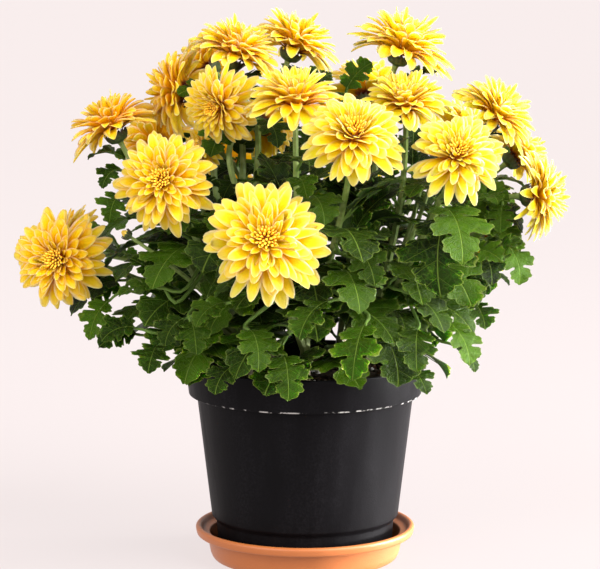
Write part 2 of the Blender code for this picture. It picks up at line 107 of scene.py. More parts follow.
def piece(name, points, faces, skins, stands_for=(), skin_of_face=None, values=None, uv=None, sharp=35):
    """A smooth mesh of points in millimetres on the one body. values are named numbers per point."""
    mesh = bpy.data.meshes.new(name)
    mesh.from_pydata((np.asarray(points, float) * MM).tolist(), [], faces)
    for skin in skins:
        mesh.materials.append(skin)
    if skin_of_face is not None:
        mesh.polygons.foreach_set("material_index", np.asarray(skin_of_face, np.int32))
    for key, numbers in (values or {}).items():
        layer = mesh.attributes.new(key, "FLOAT", "POINT")
        layer.data.foreach_set("value", np.asarray(numbers, np.float32).ravel())
    if uv is not None:
        corner = np.zeros(len(mesh.loops), np.int32)
        mesh.loops.foreach_get("vertex_index", corner)
        layer = mesh.uv_layers.new(name="UVMap")
        layer.data.foreach_set("uv", np.asarray(uv, np.float32).reshape(-1, 2)[corner].ravel())
    mesh.shade_smooth()
    mesh.set_sharp_from_angle(angle=math.radians(sharp))
    made = bpy.data.objects.new(name, mesh)
    bpy.context.scene.collection.objects.link(made)
    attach(made, "root")
    if stands_for:
        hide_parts(*stands_for)
    return made


def skin(name, **sockets):
    """A Principled material with these constant sockets: it, its tree, its shader and object coordinates."""
    made = bpy.data.materials.new(name)
    made.use_nodes = True
    shader = made.node_tree.nodes["Principled BSDF"]
    for key, value in sockets.items():
        shader.inputs[key.replace("_", " ")].default_value = value
    return made, made.node_tree, shader, node(made.node_tree, "TexCoord").outputs["Object"]


def node(tree, kind, settings=None, **inputs):
    """A shader node. An input given another node's output is linked, and one given a value is set."""
    made = tree.nodes.new("ShaderNode" + kind)
    for key, value in (settings or {}).items():
        setattr(made, key, value)
    for key, value in inputs.items():
        socket = made.inputs[int(key[1:])] if key[0] == "i" and key[1:].isdigit() else made.inputs[key]
        if isinstance(value, bpy.types.NodeSocket):
            tree.links.new(value, socket)
        else:
            socket.default_value = value
    return made


def maths(tree, operation, *inputs):
    made = node(tree, "Math", {"operation": operation}, **{f"i{k}": v for k, v in enumerate(inputs)})
    return made.outputs[0]


def times(tree, first, second):
    return maths(tree, "MULTIPLY", first, second)


def noise(tree, place, scale, detail, roughness=0.5):
    made = node(tree, "TexNoise", Vector=place, Scale=scale, Detail=detail, Roughness=roughness)
    return made.outputs["Fac"]


def attribute(tree, name):
    return node(tree, "Attribute", {"attribute_name": name}).outputs["Fac"]


def span(tree, value, low, high, to_low=0.0, to_high=1.0):
    """Maps low to high onto to_low to to_high along a smooth step."""
    made = node(tree, "MapRange", {"interpolation_type": "SMOOTHSTEP"}, Value=value)
    for key, number in zip(("From Min", "From Max", "To Min", "To Max"), (low, high, to_low, to_high)):
        made.inputs[key].default_value = number
    return made.outputs[0]


def mixed(tree, share, first, second, mode="MIX"):
    """Colour first with second laid over it by share."""
    made = tree.nodes.new("ShaderNodeMix")
    made.data_type = "RGBA"
    made.blend_type = mode
    for index, value in ((0, share), (6, first), (7, second)):
        if isinstance(value, bpy.types.NodeSocket):
            tree.links.new(value, made.inputs[index])
        else:
            made.inputs[index].default_value = (*value, 1.0) if isinstance(value, tuple) else value
    return made.outputs[2]


def finished(tree, shader, colour, height, relief, rough=None):
    """Links a skin's colour, its relief in metres along height and, where it varies, its roughness."""
    tree.links.new(colour, shader.inputs["Base Color"])
    bump = node(tree, "Bump", Height=height, Distance=relief, Strength=1.0)
    tree.links.new(bump.outputs[0], shader.inputs["Normal"])
    if rough is not None:
        tree.links.new(rough, shader.inputs["Roughness"])


def saucer_skin():
    made, tree, shader, place = skin("saucer_plastic", Roughness=0.42, Specular_IOR_Level=0.45)
    cloud = noise(tree, place, 22.0, 4.0, 0.6)
    speck = span(tree, noise(tree, place, 900.0, 2.0), 0.6, 0.75, 0.0, 0.35)
    colour = mixed(tree, speck, mixed(tree, cloud, SAUCER_COLOUR, SAUCER_LIGHT), SAUCER_SPECK)
    rough = span(tree, cloud, 0.3, 0.7, 0.36, 0.50)
    finished(tree, shader, colour, noise(tree, place, 1400.0, 1.0), 0.00006, rough)
    return made


saucer_outline = [
    (0, SAUCER_FLOOR), (SAUCER_FOOT - 2.2, SAUCER_FLOOR), (SAUCER_FOOT + 0.9, 5.0),
    (SAUCER_FOOT + 3.2, SAUCER_UNDER_LIP + 1.8), (SAUCER_FOOT + 7.4, SAUCER_UNDER_LIP + 1.9),
    (SAUCER_FOOT + 8.8, SAUCER_HIGH - 0.8), (SAUCER_FOOT + 9.8, SAUCER_HIGH), (SAUCER_LIP - 1.2, SAUCER_HIGH),
    (SAUCER_LIP, SAUCER_HIGH - 1.2), (SAUCER_LIP - 0.9, SAUCER_UNDER_LIP),
    (SAUCER_FOOT + 5.2, SAUCER_UNDER_LIP - 0.2), (SAUCER_FOOT + 2.9, 4.2), (SAUCER_FOOT + 1.6, 1.2),
    (SAUCER_FOOT, 0), (0, 0),
]
points, faces = turned(rounded(saucer_outline, 1.2)[::-1])
piece("saucer_dish", points, faces, [saucer_skin()], ["saucer"])

# Pot. The real one is a round nursery pot blown from black recycled polypropylene: a thin satin wall, a band
# at the top whose lower edge is scuffed pale, a recessed foot and five drain holes. It stands in the saucer.
POT_BASE = 2.8
POT_FLOOR = 5.0
POT_WALL = 1.6
POT_TOP = 130.5
POT_TOP_RADIUS = 77.6
BAND_LOW = 109.0
BAND_LOW_RADIUS = 75.4
BODY_TOP_RADIUS = 70.3
STEP_HEIGHT = 28.8
STEP_RADIUS = 60.7
POT_FOOT = 56.4
DRAIN_COUNT = 5
DRAIN_RADIUS = 4.0
DRAIN_CIRCLE = 40.0
POT_COLOUR = (0.0032, 0.0029, 0.0034)
POT_DUSTY = (0.008, 0.0074, 0.0085)
SCUFF_COLOUR = (0.42, 0.40, 0.38)

pot_inside = [
    (POT_FOOT - POT_WALL, POT_FLOOR), (POT_FOOT + 1.4 - POT_WALL, STEP_HEIGHT - 2.2),
    (STEP_RADIUS - POT_WALL, STEP_HEIGHT + 0.8), (BODY_TOP_RADIUS - POT_WALL, BAND_LOW + 1.8),
    (BAND_LOW_RADIUS - 1.8, BAND_LOW + 1.8), (POT_TOP_RADIUS - 1.9, POT_TOP - 0.6),
]
pot_outside = [
    (POT_TOP_RADIUS - 1.4, POT_TOP), (POT_TOP_RADIUS - 0.5, POT_TOP), (POT_TOP_RADIUS, POT_TOP - 0.6),
    (POT_TOP_RADIUS - 0.4, POT_TOP - 4.0), (BAND_LOW_RADIUS, BAND_LOW), (BODY_TOP_RADIUS, BAND_LOW),
    (STEP_RADIUS, STEP_HEIGHT), (POT_FOOT + 1.4, STEP_HEIGHT - 3.0), (POT_FOOT, POT_BASE + 0.8),
    (POT_FOOT - 0.8, POT_BASE), (0, POT_BASE),
]


def pot_skin():
    """Near-black plastic with faint upright streaks and dust, and pale scuffs along the band's lower edge."""
    made, tree, shader, place = skin("pot_plastic", Roughness=0.5, Specular_IOR_Level=0.05)
    axes = node(tree, "SeparateXYZ", Vector=place)
    radius = maths(tree, "SQRT", maths(tree, "ADD", maths(tree, "POWER", axes.outputs[0], 2.0),
                                       maths(tree, "POWER", axes.outputs[1], 2.0)))
    drawn = node(tree, "Mapping", Vector=place, Scale=(1.0, 1.0, 0.18)).outputs[0]
    streak = noise(tree, drawn, 60.0, 5.0, 0.6)
    speck = noise(tree, place, 700.0, 3.0, 0.7)
    dust = times(tree, span(tree, streak, 0.35, 0.75), span(tree, speck, 0.35, 0.7))
    low = maths(tree, "ABSOLUTE", maths(tree, "SUBTRACT", axes.outputs[2], BAND_LOW * MM + 0.0002))
    dashes = span(tree, noise(tree, place, 190.0, 3.0), 0.52, 0.60)
    rub = times(tree, span(tree, low, 0.0004, 0.0011, 1.0, 0.0), dashes)
    rub = times(tree, rub, span(tree, radius, 0.0738, 0.0746))
    rub = times(tree, rub, span(tree, axes.outputs[0], -0.068, -0.045))
    colour = mixed(tree, times(tree, rub, 0.85), mixed(tree, dust, POT_COLOUR, POT_DUSTY), SCUFF_COLOUR)
    grain = times(tree, noise(tree, place, 1100.0, 2.0), 0.12)
    height = maths(tree, "ADD", grain, noise(tree, drawn, 35.0, 2.0))
    finished(tree, shader, colour, height, 0.0006, span(tree, streak, 0.3, 0.75, 0.42, 0.56))
    return made


def drilled(made, centres, radius, low, high):
    """Cuts round holes through a piece with a Boolean and keeps the result as its mesh."""
    tools = bpy.data.collections.new("drills")
    mesh = bpy.data.meshes.new("drill")
    bar = bmesh.new()
    bmesh.ops.create_cone(bar, cap_ends=True, segments=32, radius1=radius * MM, radius2=radius * MM,
                          depth=(high - low) * MM)
    bar.to_mesh(mesh)
    bar.free()
    for x, y in centres:
        tool = bpy.data.objects.new("drill", mesh)
        tool.location = (x * MM, y * MM, (low + high) / 2 * MM)
        tools.objects.link(tool)
    bpy.context.scene.collection.children.link(tools)
    cut = made.modifiers.new("Drill", "BOOLEAN")
    cut.operand_type = "COLLECTION"
    cut.collection = tools
    bpy.context.view_layer.update()
    whole = bpy.data.meshes.new_from_object(made.evaluated_get(bpy.context.evaluated_depsgraph_get()))
    made.modifiers.clear()
    made.data = whole
    whole.set_sharp_from_angle(angle=math.radians(35))
    for tool in list(tools.objects):
        bpy.data.objects.remove(tool)
    bpy.data.collections.remove(tools)


points, faces = turned(rounded([(0, POT_FLOOR)] + pot_inside + pot_outside, 0.9)[::-1])
pot = piece("pot_body", points, faces, [pot_skin()], ["pot"])
turns = [math.tau * (i + 0.5) / DRAIN_COUNT for i in range(DRAIN_COUNT)]
drains = [(DRAIN_CIRCLE * math.cos(a), DRAIN_CIRCLE * math.sin(a)) for a in turns]
drilled(pot, drains, DRAIN_RADIUS, POT_BASE - 1, POT_FLOOR + 1)

# Potting mix. Moist dark peat and composted bark with a little perlite, filled to just under the rim and
# pressed lightly round the cuttings, so its top is crumbly. It fills the pot and holds the stems.
MIX_TOP = 118.0
MIX_RADIUS = 74.0
MIX_RINGS = 34
CRUMB_COUNT = 620
GAP = 0.3
MIX_COLOUR = (0.030, 0.020, 0.013)
MIX_PALE = (0.075, 0.048, 0.030)


def mix_skin(name, dark, pale):
    made, tree, shader, place = skin(name, Roughness=0.95, Specular_IOR_Level=0.2)
    fibre = noise(tree, place, 260.0, 6.0, 0.7)
    lump = node(tree, "TexVoronoi", Vector=place, Scale=300.0).outputs["Distance"]
    colour = mixed(tree, span(tree, fibre, 0.35, 0.7), dark, pale)
    colour = mixed(tree, span(tree, lump, 0.0, 0.5, 0.0, 0.5), colour, dark)
    finished(tree, shader, colour, fibre, 0.0012)
    return made


def crumbs(count, draw):
    """Small twelve-cornered lumps, squashed and turned at random, scattered evenly by area over the top."""
    golden = (1 + 5**0.5) / 2
    corner = [(0, a, b * golden) for a in (-1, 1) for b in (-1, 1)]
    corner = np.array(corner + [(b, c, a) for a, b, c in corner] + [(c, a, b) for a, b, c in corner])
    hull = bmesh.new()
    for c in corner:
        hull.verts.new(c)
    bmesh.ops.convex_hull(hull, input=hull.verts)
    hull.verts.index_update()
    faces = np.array([[v.index for v in f.verts] for f in hull.faces])
    hull.free()
    shape = corner / np.linalg.norm(corner[0])
    shape = shape[None] * draw.uniform(0.75, 1.25, (count, 12, 1))
    size = draw.uniform(0.7, 1.0, (count, 1, 3)) * draw.gamma(3.0, 0.42, (count, 1, 1)) + 0.35
    axes = np.linalg.qr(draw.normal(size=(count, 3, 3)))[0]
    axes[:, :, 0] *= np.linalg.det(axes)[:, None]
    turn = draw.uniform(0, math.tau, count)
    away = (MIX_RADIUS - 2) * np.sqrt(draw.uniform(0, 1, count))
    high = MIX_TOP + draw.uniform(-0.2, 1.1, count)
    centre = np.stack([away * np.cos(turn), away * np.sin(turn), high], -1)
    points = np.einsum("nij,nkj->nki", axes, shape * size) + centre[:, None]
    return points.reshape(-1, 3), (faces[None] + 12 * np.arange(count)[:, None, None]).reshape(-1, 3).tolist()


mix_outline = [(MIX_RADIUS * k / MIX_RINGS, MIX_TOP + 1 - 2.0 * (k / MIX_RINGS) ** 2)
               for k in range(MIX_RINGS + 1)]
mix_outline += [(BAND_LOW_RADIUS - 2.1, BAND_LOW + 2.2), (BODY_TOP_RADIUS - 2.0, BAND_LOW + 2.1)]
mix_outline += [(STEP_RADIUS - 2.0, STEP_HEIGHT + 1.1), (POT_FOOT - 0.6, STEP_HEIGHT - 1.9)]
mix_outline += [(POT_FOOT - 2.0, POT_FLOOR + GAP), (0, POT_FLOOR + GAP)]
points, faces = turned(np.array(mix_outline)[::-1], 180)
draw = np.random.default_rng(5)
x, y, z = points.T
waves = draw.uniform((0.1, -0.5, -0.5, 0), (0.5, 0.5, 0.5, 6.3), (9, 4))
swell = sum(a * np.sin(x * p + y * q + s) for a, p, q, s in waves)
top = z > MIX_TOP - 1.5
points[top, 2] += 0.55 * swell[top] + draw.uniform(-0.45, 0.45, top.sum())
piece("mix_bed", points, faces, [mix_skin("peat", MIX_COLOUR, MIX_PALE)], ["soil"], sharp=80)
points, faces = crumbs(CRUMB_COUNT, draw)
kinds = np.repeat(draw.choice(3, CRUMB_COUNT, p=(0.62, 0.30, 0.08)), 20)
crumb_skins = [mix_skin("crumb_peat", MIX_COLOUR, MIX_PALE),
               mix_skin("crumb_bark", (0.07, 0.035, 0.018), (0.16, 0.085, 0.045)),
               mix_skin("crumb_perlite", (0.50, 0.48, 0.44), (0.68, 0.66, 0.62))]
piece("mix_crumbs", points, faces, crumb_skins, skin_of_face=kinds, sharp=50)

# Stems. Five cuttings, each pinched once, so that a short woody stem carries several ribbed green shoots.
# Each shoot ends in a flower head's cup of overlapping bracts, dark where it is seen from below.
PLANTS = range(1, 6)
PLANT_AZIMUTHS = (-90, -18, 54, 126, 198)
PLANT_CIRCLE = 38.0
MAIN_STEM_RADIUS = 3.5
MAIN_STEM_FOOT = 97.0
PINCH_HEIGHT = 158.0
PINCH_LEAN = 7.0
SHOOT_RADIUS = 2.5
PEDUNCLE_RADIUS = 1.6
CUP_RADIUS = 7.0
CUP_BACK = 9.0
STEM_SIDES = 12

# Flower heads: plant, middle of the underside (x, y, z), azimuth and elevation it faces, radius.
BLOOMS = (
    (5, (-154, -25, 200), (-105, 8), 32), (5, (-121, -5, 278), (175, 62), 30),
    (5, (-86, -80, 255), (-97, 15), 31), (1, (-24, -120, 223), (-88, 18), 37),
    (5, (-76, 6, 303), (168, 6), 30), (5, (-46, 8, 324), (0, 68), 31), (5, (-50, -44, 300), (-125, -6), 26),
    (4, (-9, 64, 325), (20, 66), 32), (1, (-6, -70, 299), (-90, 76), 31),
    (1, (29, -107, 282), (-86, 42), 31), (2, (60, 0, 327), (0, 70), 34), (2, (63, -35, 294), (-95, 72), 30),
    (2, (91, -95, 270), (-85, 34), 30), (2, (118, -10, 287), (-25, 50), 29),
    (2, (142, -30, 241), (-10, 4), 28), (3, (137, 50, 256), (15, 35), 26),
    (4, (-99, 95, 260), (125, 25), 28), (5, (-62, -4, 268), (-140, 20), 17),
    (1, (-27, -5, 283), (35, 6), 24), (4, (-150, 50, 196), (155, 8), 28),
    (4, (-55, 128, 240), (112, 22), 32), (3, (35, 135, 252), (82, 22), 32),
    (3, (103, 100, 262), (42, 32), 31), (3, (118, 84, 200), (28, 6), 28), (3, (42, 92, 292), (70, 55), 31),
    (4, (-63, 74, 314), (150, 38), 27),
)
# Buds: plant, tip (x, y, z), azimuth and elevation, radius.
BUDS = (
    (2, (78, -14, 282), (-80, 75), 5.2), (2, (88, -24, 278), (-50, 70), 6.0),
    (5, (-114, -60, 222), (-160, 35), 3.2), (4, (-20, 110, 268), (100, 60), 5.0),
)


def towards(azimuth, elevation):
    """Unit vector at an azimuth from +X and an elevation, in degrees."""
    a, e = math.radians(azimuth), math.radians(elevation)
    return Vector((math.cos(a) * math.cos(e), math.sin(a) * math.cos(e), math.sin(e)))


def main_stem(plant):
    """The rooted cutting: straight up out of the mix, then leaning out to where it was pinched."""
    out = towards(PLANT_AZIMUTHS[plant - 1], 0)
    foot = out * PLANT_CIRCLE
    return [
        foot + Vector((0, 0, MAIN_STEM_FOOT)),
        foot + Vector((0, 0, MIX_TOP + 4)),
        foot + out * PINCH_LEAN * 0.4 + Vector((0, 0, 138)),
        foot + out * PINCH_LEAN + Vector((0, 0, PINCH_HEIGHT)),
    ]


def shoot_path(plant, order, end, axis, count):
    """Points of a side shoot: a cubic curve from the main stem to just below its flower head."""
    stem = main_stem(plant)
    start = stem[2].lerp(stem[3], 0.15 + 0.75 * (order % 4) / 3)
    reach = (end - start).length
    level = Vector((end.x - start.x, end.y - start.y, 0.0))
    lean = level.normalized() * min(0.9, level.length / 90) + Vector((0, 0, 1))
    first = start + lean.normalized() * 0.36 * reach
    last = end - axis * 0.36 * reach
    return [start * (1 - k) ** 3 + first * 3 * k * (1 - k) ** 2 + last * 3 * k * k * (1 - k) + end * k**3
            for k in (i / (count - 1) for i in range(count))]


def shoots(count):
    """Every shoot, plant by plant: plant, order on it, top of its cup, axis, radius of its head, points."""
    found = []
    for plant in PLANTS:
        for order, (_, base, facing, radius) in enumerate(row for row in BLOOMS if row[0] == plant):
            axis = towards(*facing)
            path = shoot_path(plant, order, Vector(base) - axis * (GAP + CUP_BACK), axis, count)
            found.append((plant, order, Vector(base) - axis * GAP, axis, radius, path))
    return found


def swept_faces(rings, loop, copies=1):
    """Quads between neighbouring rings of a closed loop and a face on each end, for every copy in turn."""
    i = np.arange(rings - 1)[:, None] * loop
    j = np.arange(loop)[None, :]
    nxt = (j + 1) % loop
    quads = np.stack([i + j, i + nxt, i + loop + nxt, i + loop + j], -1).reshape(-1, 4)
    offset = np.arange(copies)[:, None, None] * rings * loop
    ends = np.stack([j[0][::-1], (rings - 1) * loop + j[0]])
    return (quads[None] + offset).reshape(-1, 4).tolist() + (ends[None] + offset).reshape(-1, loop).tolist()


def tube(path, radii, sides=STEM_SIDES, ribs=0.0):
    """A ring square to the path at each of its points, whose radius swells by the share ribs six times."""
    path = np.array([tuple(p) for p in path])
    radii = np.asarray(radii, float)
    along = np.gradient(path, axis=0)
    along /= np.linalg.norm(along, axis=1, keepdims=True)
    aside = np.cross(along, (0.31, 0.95, 0.05))
    aside /= np.linalg.norm(aside, axis=1, keepdims=True)
    over = np.cross(along, aside)
    angle = np.linspace(0, math.tau, sides, endpoint=False)
    size = radii[:, None, None] * (1 + ribs * np.cos(6 * angle))[None, :, None]
    cos, sin = np.cos(angle)[None, :, None], np.sin(angle)[None, :, None]
    return path[:, None] + size * (aside[:, None] * cos + over[:, None] * sin)


def turned_towards(points, axis, base):
    """Points about +Z turned so that +Z lies along axis, and moved to base."""
    turn = np.array(Vector((0, 0, 1)).rotation_difference(axis).to_matrix())
    return points @ turn.T + np.array(base)


class Batch:
    """Points, faces and named numbers of many small shapes gathered for one piece."""

    def __init__(self):
        self.points, self.faces, self.skins, self.values, self.uv, self.size = [], [], [], {}, [], 0

    def add(self, points, faces, skin_number=0, uv=None, **values):
        flat = np.asarray(points, float).reshape(-1, 3)
        self.faces += [[k + self.size for k in face] for face in faces]
        self.points.append(flat)
        self.skins += [skin_number] * len(faces) if isinstance(skin_number, int) else list(skin_number)
        self.uv.append(np.zeros((len(flat), 2)) if uv is None else np.asarray(uv, float).reshape(-1, 2))
        for key, numbers in values.items():
            self.values.setdefault(key, []).append(np.broadcast_to(numbers, (len(flat),)))
        self.size += len(flat)

    def add_tube(self, path, radii, skin_number=0, sides=STEM_SIDES, ribs=0.0, rim=0.0):
        rings = tube(path, radii, sides, ribs)
        self.add(rings, swept_faces(*rings.shape[:2]), skin_number, rim=rim)

    def piece(self, name, skins, slot, stands_for=(), sharp=35):
        values = {key: np.concatenate(parts) for key, parts in self.values.items()}
        points, uv = np.concatenate(self.points), np.concatenate(self.uv)
        return piece(name, points, self.faces, skins, stands_for, self.skins, values, uv, sharp)


# Bracts of each row, turn of the row, how far out and how high its tips reach, and how wide a bract is.
BRACT_ROWS = ((14, 0.0, 1.06, 0.20, 0.105), (12, 0.35, 0.98, -0.12, 0.120), (9, 0.7, 0.80, -0.38, 0.130))


def add_bracts(batch, radius, high, axis, base):
    """Rows of narrow scales on the cup, each a lens from its foot on the stem to its tip at the rim."""
    u = np.array([0.0, 0.35, 0.7, 1.0])[None, :, None]
    v = np.array([-1.0, 0.0, 1.0, 0.0])[None, None, :]
    lift = np.array([0.0, 0.45, 0.0, -0.25])[None, None, :]
    for count, shift, out, tip, wide in BRACT_ROWS:
        angle = ((np.arange(count) + shift) * math.tau / count)[:, None, None]
        r = radius * (0.30 + (out - 0.30) * np.sin(u * math.pi / 2) ** 0.8) + lift
        z = high * (-0.95 + (0.95 + tip) * u**1.6)
        side = radius * wide * 2.2 * np.sin(math.pi * (0.18 + 0.76 * u)) ** 0.7 * v
        row = np.stack([r * np.cos(angle) - side * np.sin(angle), r * np.sin(angle) + side * np.cos(angle),
                        z + 0 * angle + 0 * v], -1)
        rim = np.broadcast_to(np.array([0, 0.2, 0.6, 1.0])[None, :, None], row.shape[:3]).ravel()
        faces = [face[::-1] for face in swept_faces(4, 4, count)]
        batch.add(turned_towards(row.reshape(-1, 3), axis, base), faces, 1, rim=rim)


def stem_skin():
    """Pale green, ribbed and finely haired, browner and corky at the foot."""
    made, tree, shader, place = skin(
        "stem_green", Roughness=0.55, Specular_IOR_Level=0.35, Subsurface_Weight=0.1,
        Subsurface_Radius=(0.4, 1.0, 0.2), Subsurface_Scale=0.0015)
    height = node(tree, "SeparateXYZ", Vector=place).outputs[2]
    blotch = span(tree, noise(tree, place, 160.0, 4.0), 0.35, 0.7)
    green = mixed(tree, blotch, (0.140, 0.215, 0.040), (0.260, 0.345, 0.100))
    wood = mixed(tree, blotch, (0.075, 0.060, 0.025), (0.160, 0.130, 0.060))
    colour = mixed(tree, span(tree, height, 0.125, 0.165), wood, green)
    finished(tree, shader, colour, noise(tree, place, 1500.0, 2.0), 0.00015)
    return made


def cup_skin():
    """Dark green bracts with papery purple-brown margins."""
    made, tree, shader, place = skin("bract_green", Roughness=0.6, Specular_IOR_Level=0.3)
    blotch = noise(tree, place, 420.0, 3.0)
    green = mixed(tree, span(tree, blotch, 0.35, 0.7), (0.040, 0.070, 0.018), (0.085, 0.130, 0.035))
    colour = mixed(tree, span(tree, attribute(tree, "rim"), 0.35, 1.0), green, (0.050, 0.022, 0.018))
    finished(tree, shader, colour, blotch, 0.0003)
    return made


green_stem, green_cup = stem_skin(), cup_skin()
stems = {plant: Batch() for plant in PLANTS}
for plant, batch in stems.items():
    height = np.linspace(0, 1, 14)
    bends = np.array(main_stem(plant)).T
    path = np.stack([np.interp(height * 61, (0, 25, 41, 61), bend) for bend in bends], -1)
    radii = np.interp(height, (0, 0.7, 1), (MAIN_STEM_RADIUS, 3.3, 2.9)) * (1 + 0.05 * np.sin(height * 23))
    batch.add_tube(path, radii, ribs=0.06)
for plant, order, top, axis, radius, path in shoots(22):
    path += [top - axis * back for back in (7.5, 6.5, 5.6)]
    radii = list(np.linspace(SHOOT_RADIUS, PEDUNCLE_RADIUS, 22)) + [1.7, 1.9, 2.3]
    stems[plant].add_tube(path, radii, ribs=0.09)
    wide = CUP_RADIUS * min(1.0, radius / 28)
    cup = [top - axis * back for back in (6.2, 5.4, 4.2, 2.6, 1.0, 0.0)]
    stems[plant].add_tube(cup, wide * np.array([0.28, 0.52, 0.76, 0.93, 1.0, 0.98]), 1, 20, rim=0.3)
    add_bracts(stems[plant], wide, 6.2, axis, top)
for plant, batch in stems.items():
    batch.piece(f"stems_{plant}", [green_stem, green_cup], "foliage", [f"plant_{plant}"])

# Buds. Tight round buds on thin stalks, wrapped in green bracts, with the first folded petals showing at
# the tip, red on one and yellow on the others.
BUD_BACK = 2.0
RED_BUD = 0


def bud_petal_skin(name, dark, light):
    made, tree, shader, place = skin(name, Roughness=0.5, Specular_IOR_Level=0.35)
    streak = noise(tree, place, 500.0, 3.0)
    finished(tree, shader, mixed(tree, span(tree, streak, 0.35, 0.65), dark, light), streak, 0.0003)
    return made


red_tip = bud_petal_skin("bud_red", (0.30, 0.02, 0.01), (0.60, 0.09, 0.02))
yellow_tip = bud_petal_skin("bud_yellow", (0.55, 0.33, 0.03), (0.80, 0.60, 0.10))
stalks, tips = Batch(), Batch()
for number, (plant, tip, facing, radius) in enumerate(BUDS):
    axis = towards(*facing)
    order = sum(row[0] == plant for row in BUDS[:number]) + 2
    base = Vector(tip) - axis * BUD_BACK * radius
    path = shoot_path(plant, order, base, axis, 20)
    stalks.add_tube(path, np.linspace(SHOOT_RADIUS * 0.8, 1.0, 20), ribs=0.09)
    cup = [base + axis * k * radius for k in (0, 0.12, 0.4, 0.8, 1.15, 1.4)]
    stalks.add_tube(cup, radius * np.array([0.3, 0.6, 0.88, 0.98, 0.85, 0.6]), 1, 20, rim=0.2)
    add_bracts(stalks, radius * 0.98, radius * 1.25, axis, base + axis * radius * 1.1)
    # The folded petals are a small cone, each ring lobed by a cosine of six times its angle.
    t = np.linspace(0, 1, 7)
    cone = [base + axis * radius * 0.75 + axis * float(1.3 * radius * k) for k in t]
    tips.add_tube(cone, radius * 0.78 * np.cos(t * 1.35) ** 0.8, int(number != RED_BUD), 24, ribs=0.10)
stalks.piece("bud_stalks", [green_stem, green_cup], "foliage")
tips.piece("bud_tips", [red_tip, yellow_tip], "petals")

# Leaves. Firm lobed chrysanthemum leaves, two pairs of toothed lobes and a broad end lobe, arching down from
# their stalks: satin dark green above with paler veins and margin, grey-green and downy below.
STALK_LENGTH = 9.0
LEAF_FOLD = 0.20
LEAF_CURL = 0.006
LEAF_THICK = 0.5
# Half outline as shares of the blade's length: how far along, how far out, where its vein leaves the midrib.
LEAF_MARGIN = (
    (0.000, 0.014, 0.000), (0.070, 0.026, 0.030), (0.130, 0.050, 0.055), (0.165, 0.110, 0.075),
    (0.160, 0.190, 0.090), (0.190, 0.225, 0.102), (0.225, 0.215, 0.114), (0.250, 0.285, 0.126),
    (0.295, 0.305, 0.140), (0.325, 0.255, 0.156), (0.355, 0.265, 0.172), (0.375, 0.215, 0.190),
    (0.360, 0.120, 0.230), (0.375, 0.085, 0.285), (0.410, 0.115, 0.320), (0.430, 0.200, 0.340),
    (0.425, 0.290, 0.355), (0.460, 0.325, 0.370), (0.500, 0.310, 0.385), (0.520, 0.385, 0.400),
    (0.570, 0.410, 0.418), (0.605, 0.355, 0.436), (0.645, 0.370, 0.455), (0.665, 0.310, 0.475),
    (0.650, 0.220, 0.510), (0.635, 0.130, 0.560), (0.665, 0.105, 0.605), (0.700, 0.150, 0.635),
    (0.705, 0.220, 0.655), (0.745, 0.250, 0.680), (0.785, 0.215, 0.710), (0.815, 0.245, 0.735),
    (0.855, 0.215, 0.765), (0.865, 0.150, 0.800), (0.905, 0.150, 0.840), (0.940, 0.105, 0.880),
    (0.955, 0.060, 0.930), (1.000, 0.012, 0.985),
)
LEAF_SAMPLES = 46
# The middle of the foliage, in metres, towards which the leaves are painted darker as shade.
HEART = (0.0, 0.010, 0.205)
# Leaves that shape the plant's outline: plant, shoot, step along it, azimuth, rise, droop, roll and length.
SHAPING_LEAVES = (
    (5, 0, 13, (205, 5, 70, -10, 46)), (5, 0, 9, (222, 0, 65, 8, 44)), (5, 0, 6, (238, 10, 85, -6, 46)),
    (5, 1, 15, (196, 20, 95, 0, 42)), (5, 1, 12, (176, 15, 80, 10, 46)), (5, 2, 12, (215, 10, 80, 0, 50)),
    (2, 4, 15, (-22, 25, 85, 5, 46)), (2, 4, 12, (-40, 5, 65, -10, 48)), (2, 2, 17, (-72, 12, 100, 0, 56)),
    (2, 2, 10, (-48, 10, 85, 10, 54)), (1, 2, 13, (-80, 22, 75, 0, 52)), (1, 2, 9, (-66, 15, 90, 0, 54)),
    (2, 0, 20, (185, 35, 55, 0, 40)), (4, 1, 20, (-12, 25, 60, 0, 38)),
)


def on_leaf(root, azimuth, rise, droop, roll, length, s, w, off):
    """Points s along, w across and off above a blade that bends down by droop over its length, like a bow."""
    a, start, bend, rolled = (math.radians(v) for v in (azimuth, rise, droop, roll))
    heading = np.array([math.cos(a), math.sin(a), 0.0])
    across = np.array([math.sin(a), -math.cos(a), 0.0])
    up = np.array([0.0, 0.0, 1.0])
    s, w, off = (np.asarray(v, float)[..., None] for v in (s, w, off))
    e = start - bend * np.maximum(s, 0) / length
    first = heading * math.cos(start) + up * math.sin(start)
    normal = up * np.cos(e) - heading * np.sin(e)
    above = normal * math.cos(rolled) + across * math.sin(rolled)
    side = across * math.cos(rolled) - normal * math.sin(rolled)
    rad = length / bend
    middle = heading * rad * (math.sin(start) - np.sin(e)) + up * rad * (np.cos(e) - math.cos(start))
    middle = np.array(root) + first * (STALK_LENGTH + np.minimum(s, 0)) + middle
    return middle + side * w + above * (LEAF_FOLD * np.abs(w) - LEAF_CURL * w * w + off)


def leaf_choices(seed, wish):
    """Ways one leaf could sit, the wished one first: azimuth, rise, droop, roll and length."""
    draw = random.Random(seed)
    azimuth, rise, droop, roll, length = wish
    return [(azimuth + draw.uniform(-5, 5) * i, rise + draw.uniform(-1.5, 1.5) * i,
             droop + draw.uniform(-1.6, 1.2) * i, roll + draw.uniform(-1, 1) * i, length * (1 - 0.012 * i))
            for i in range(26)]


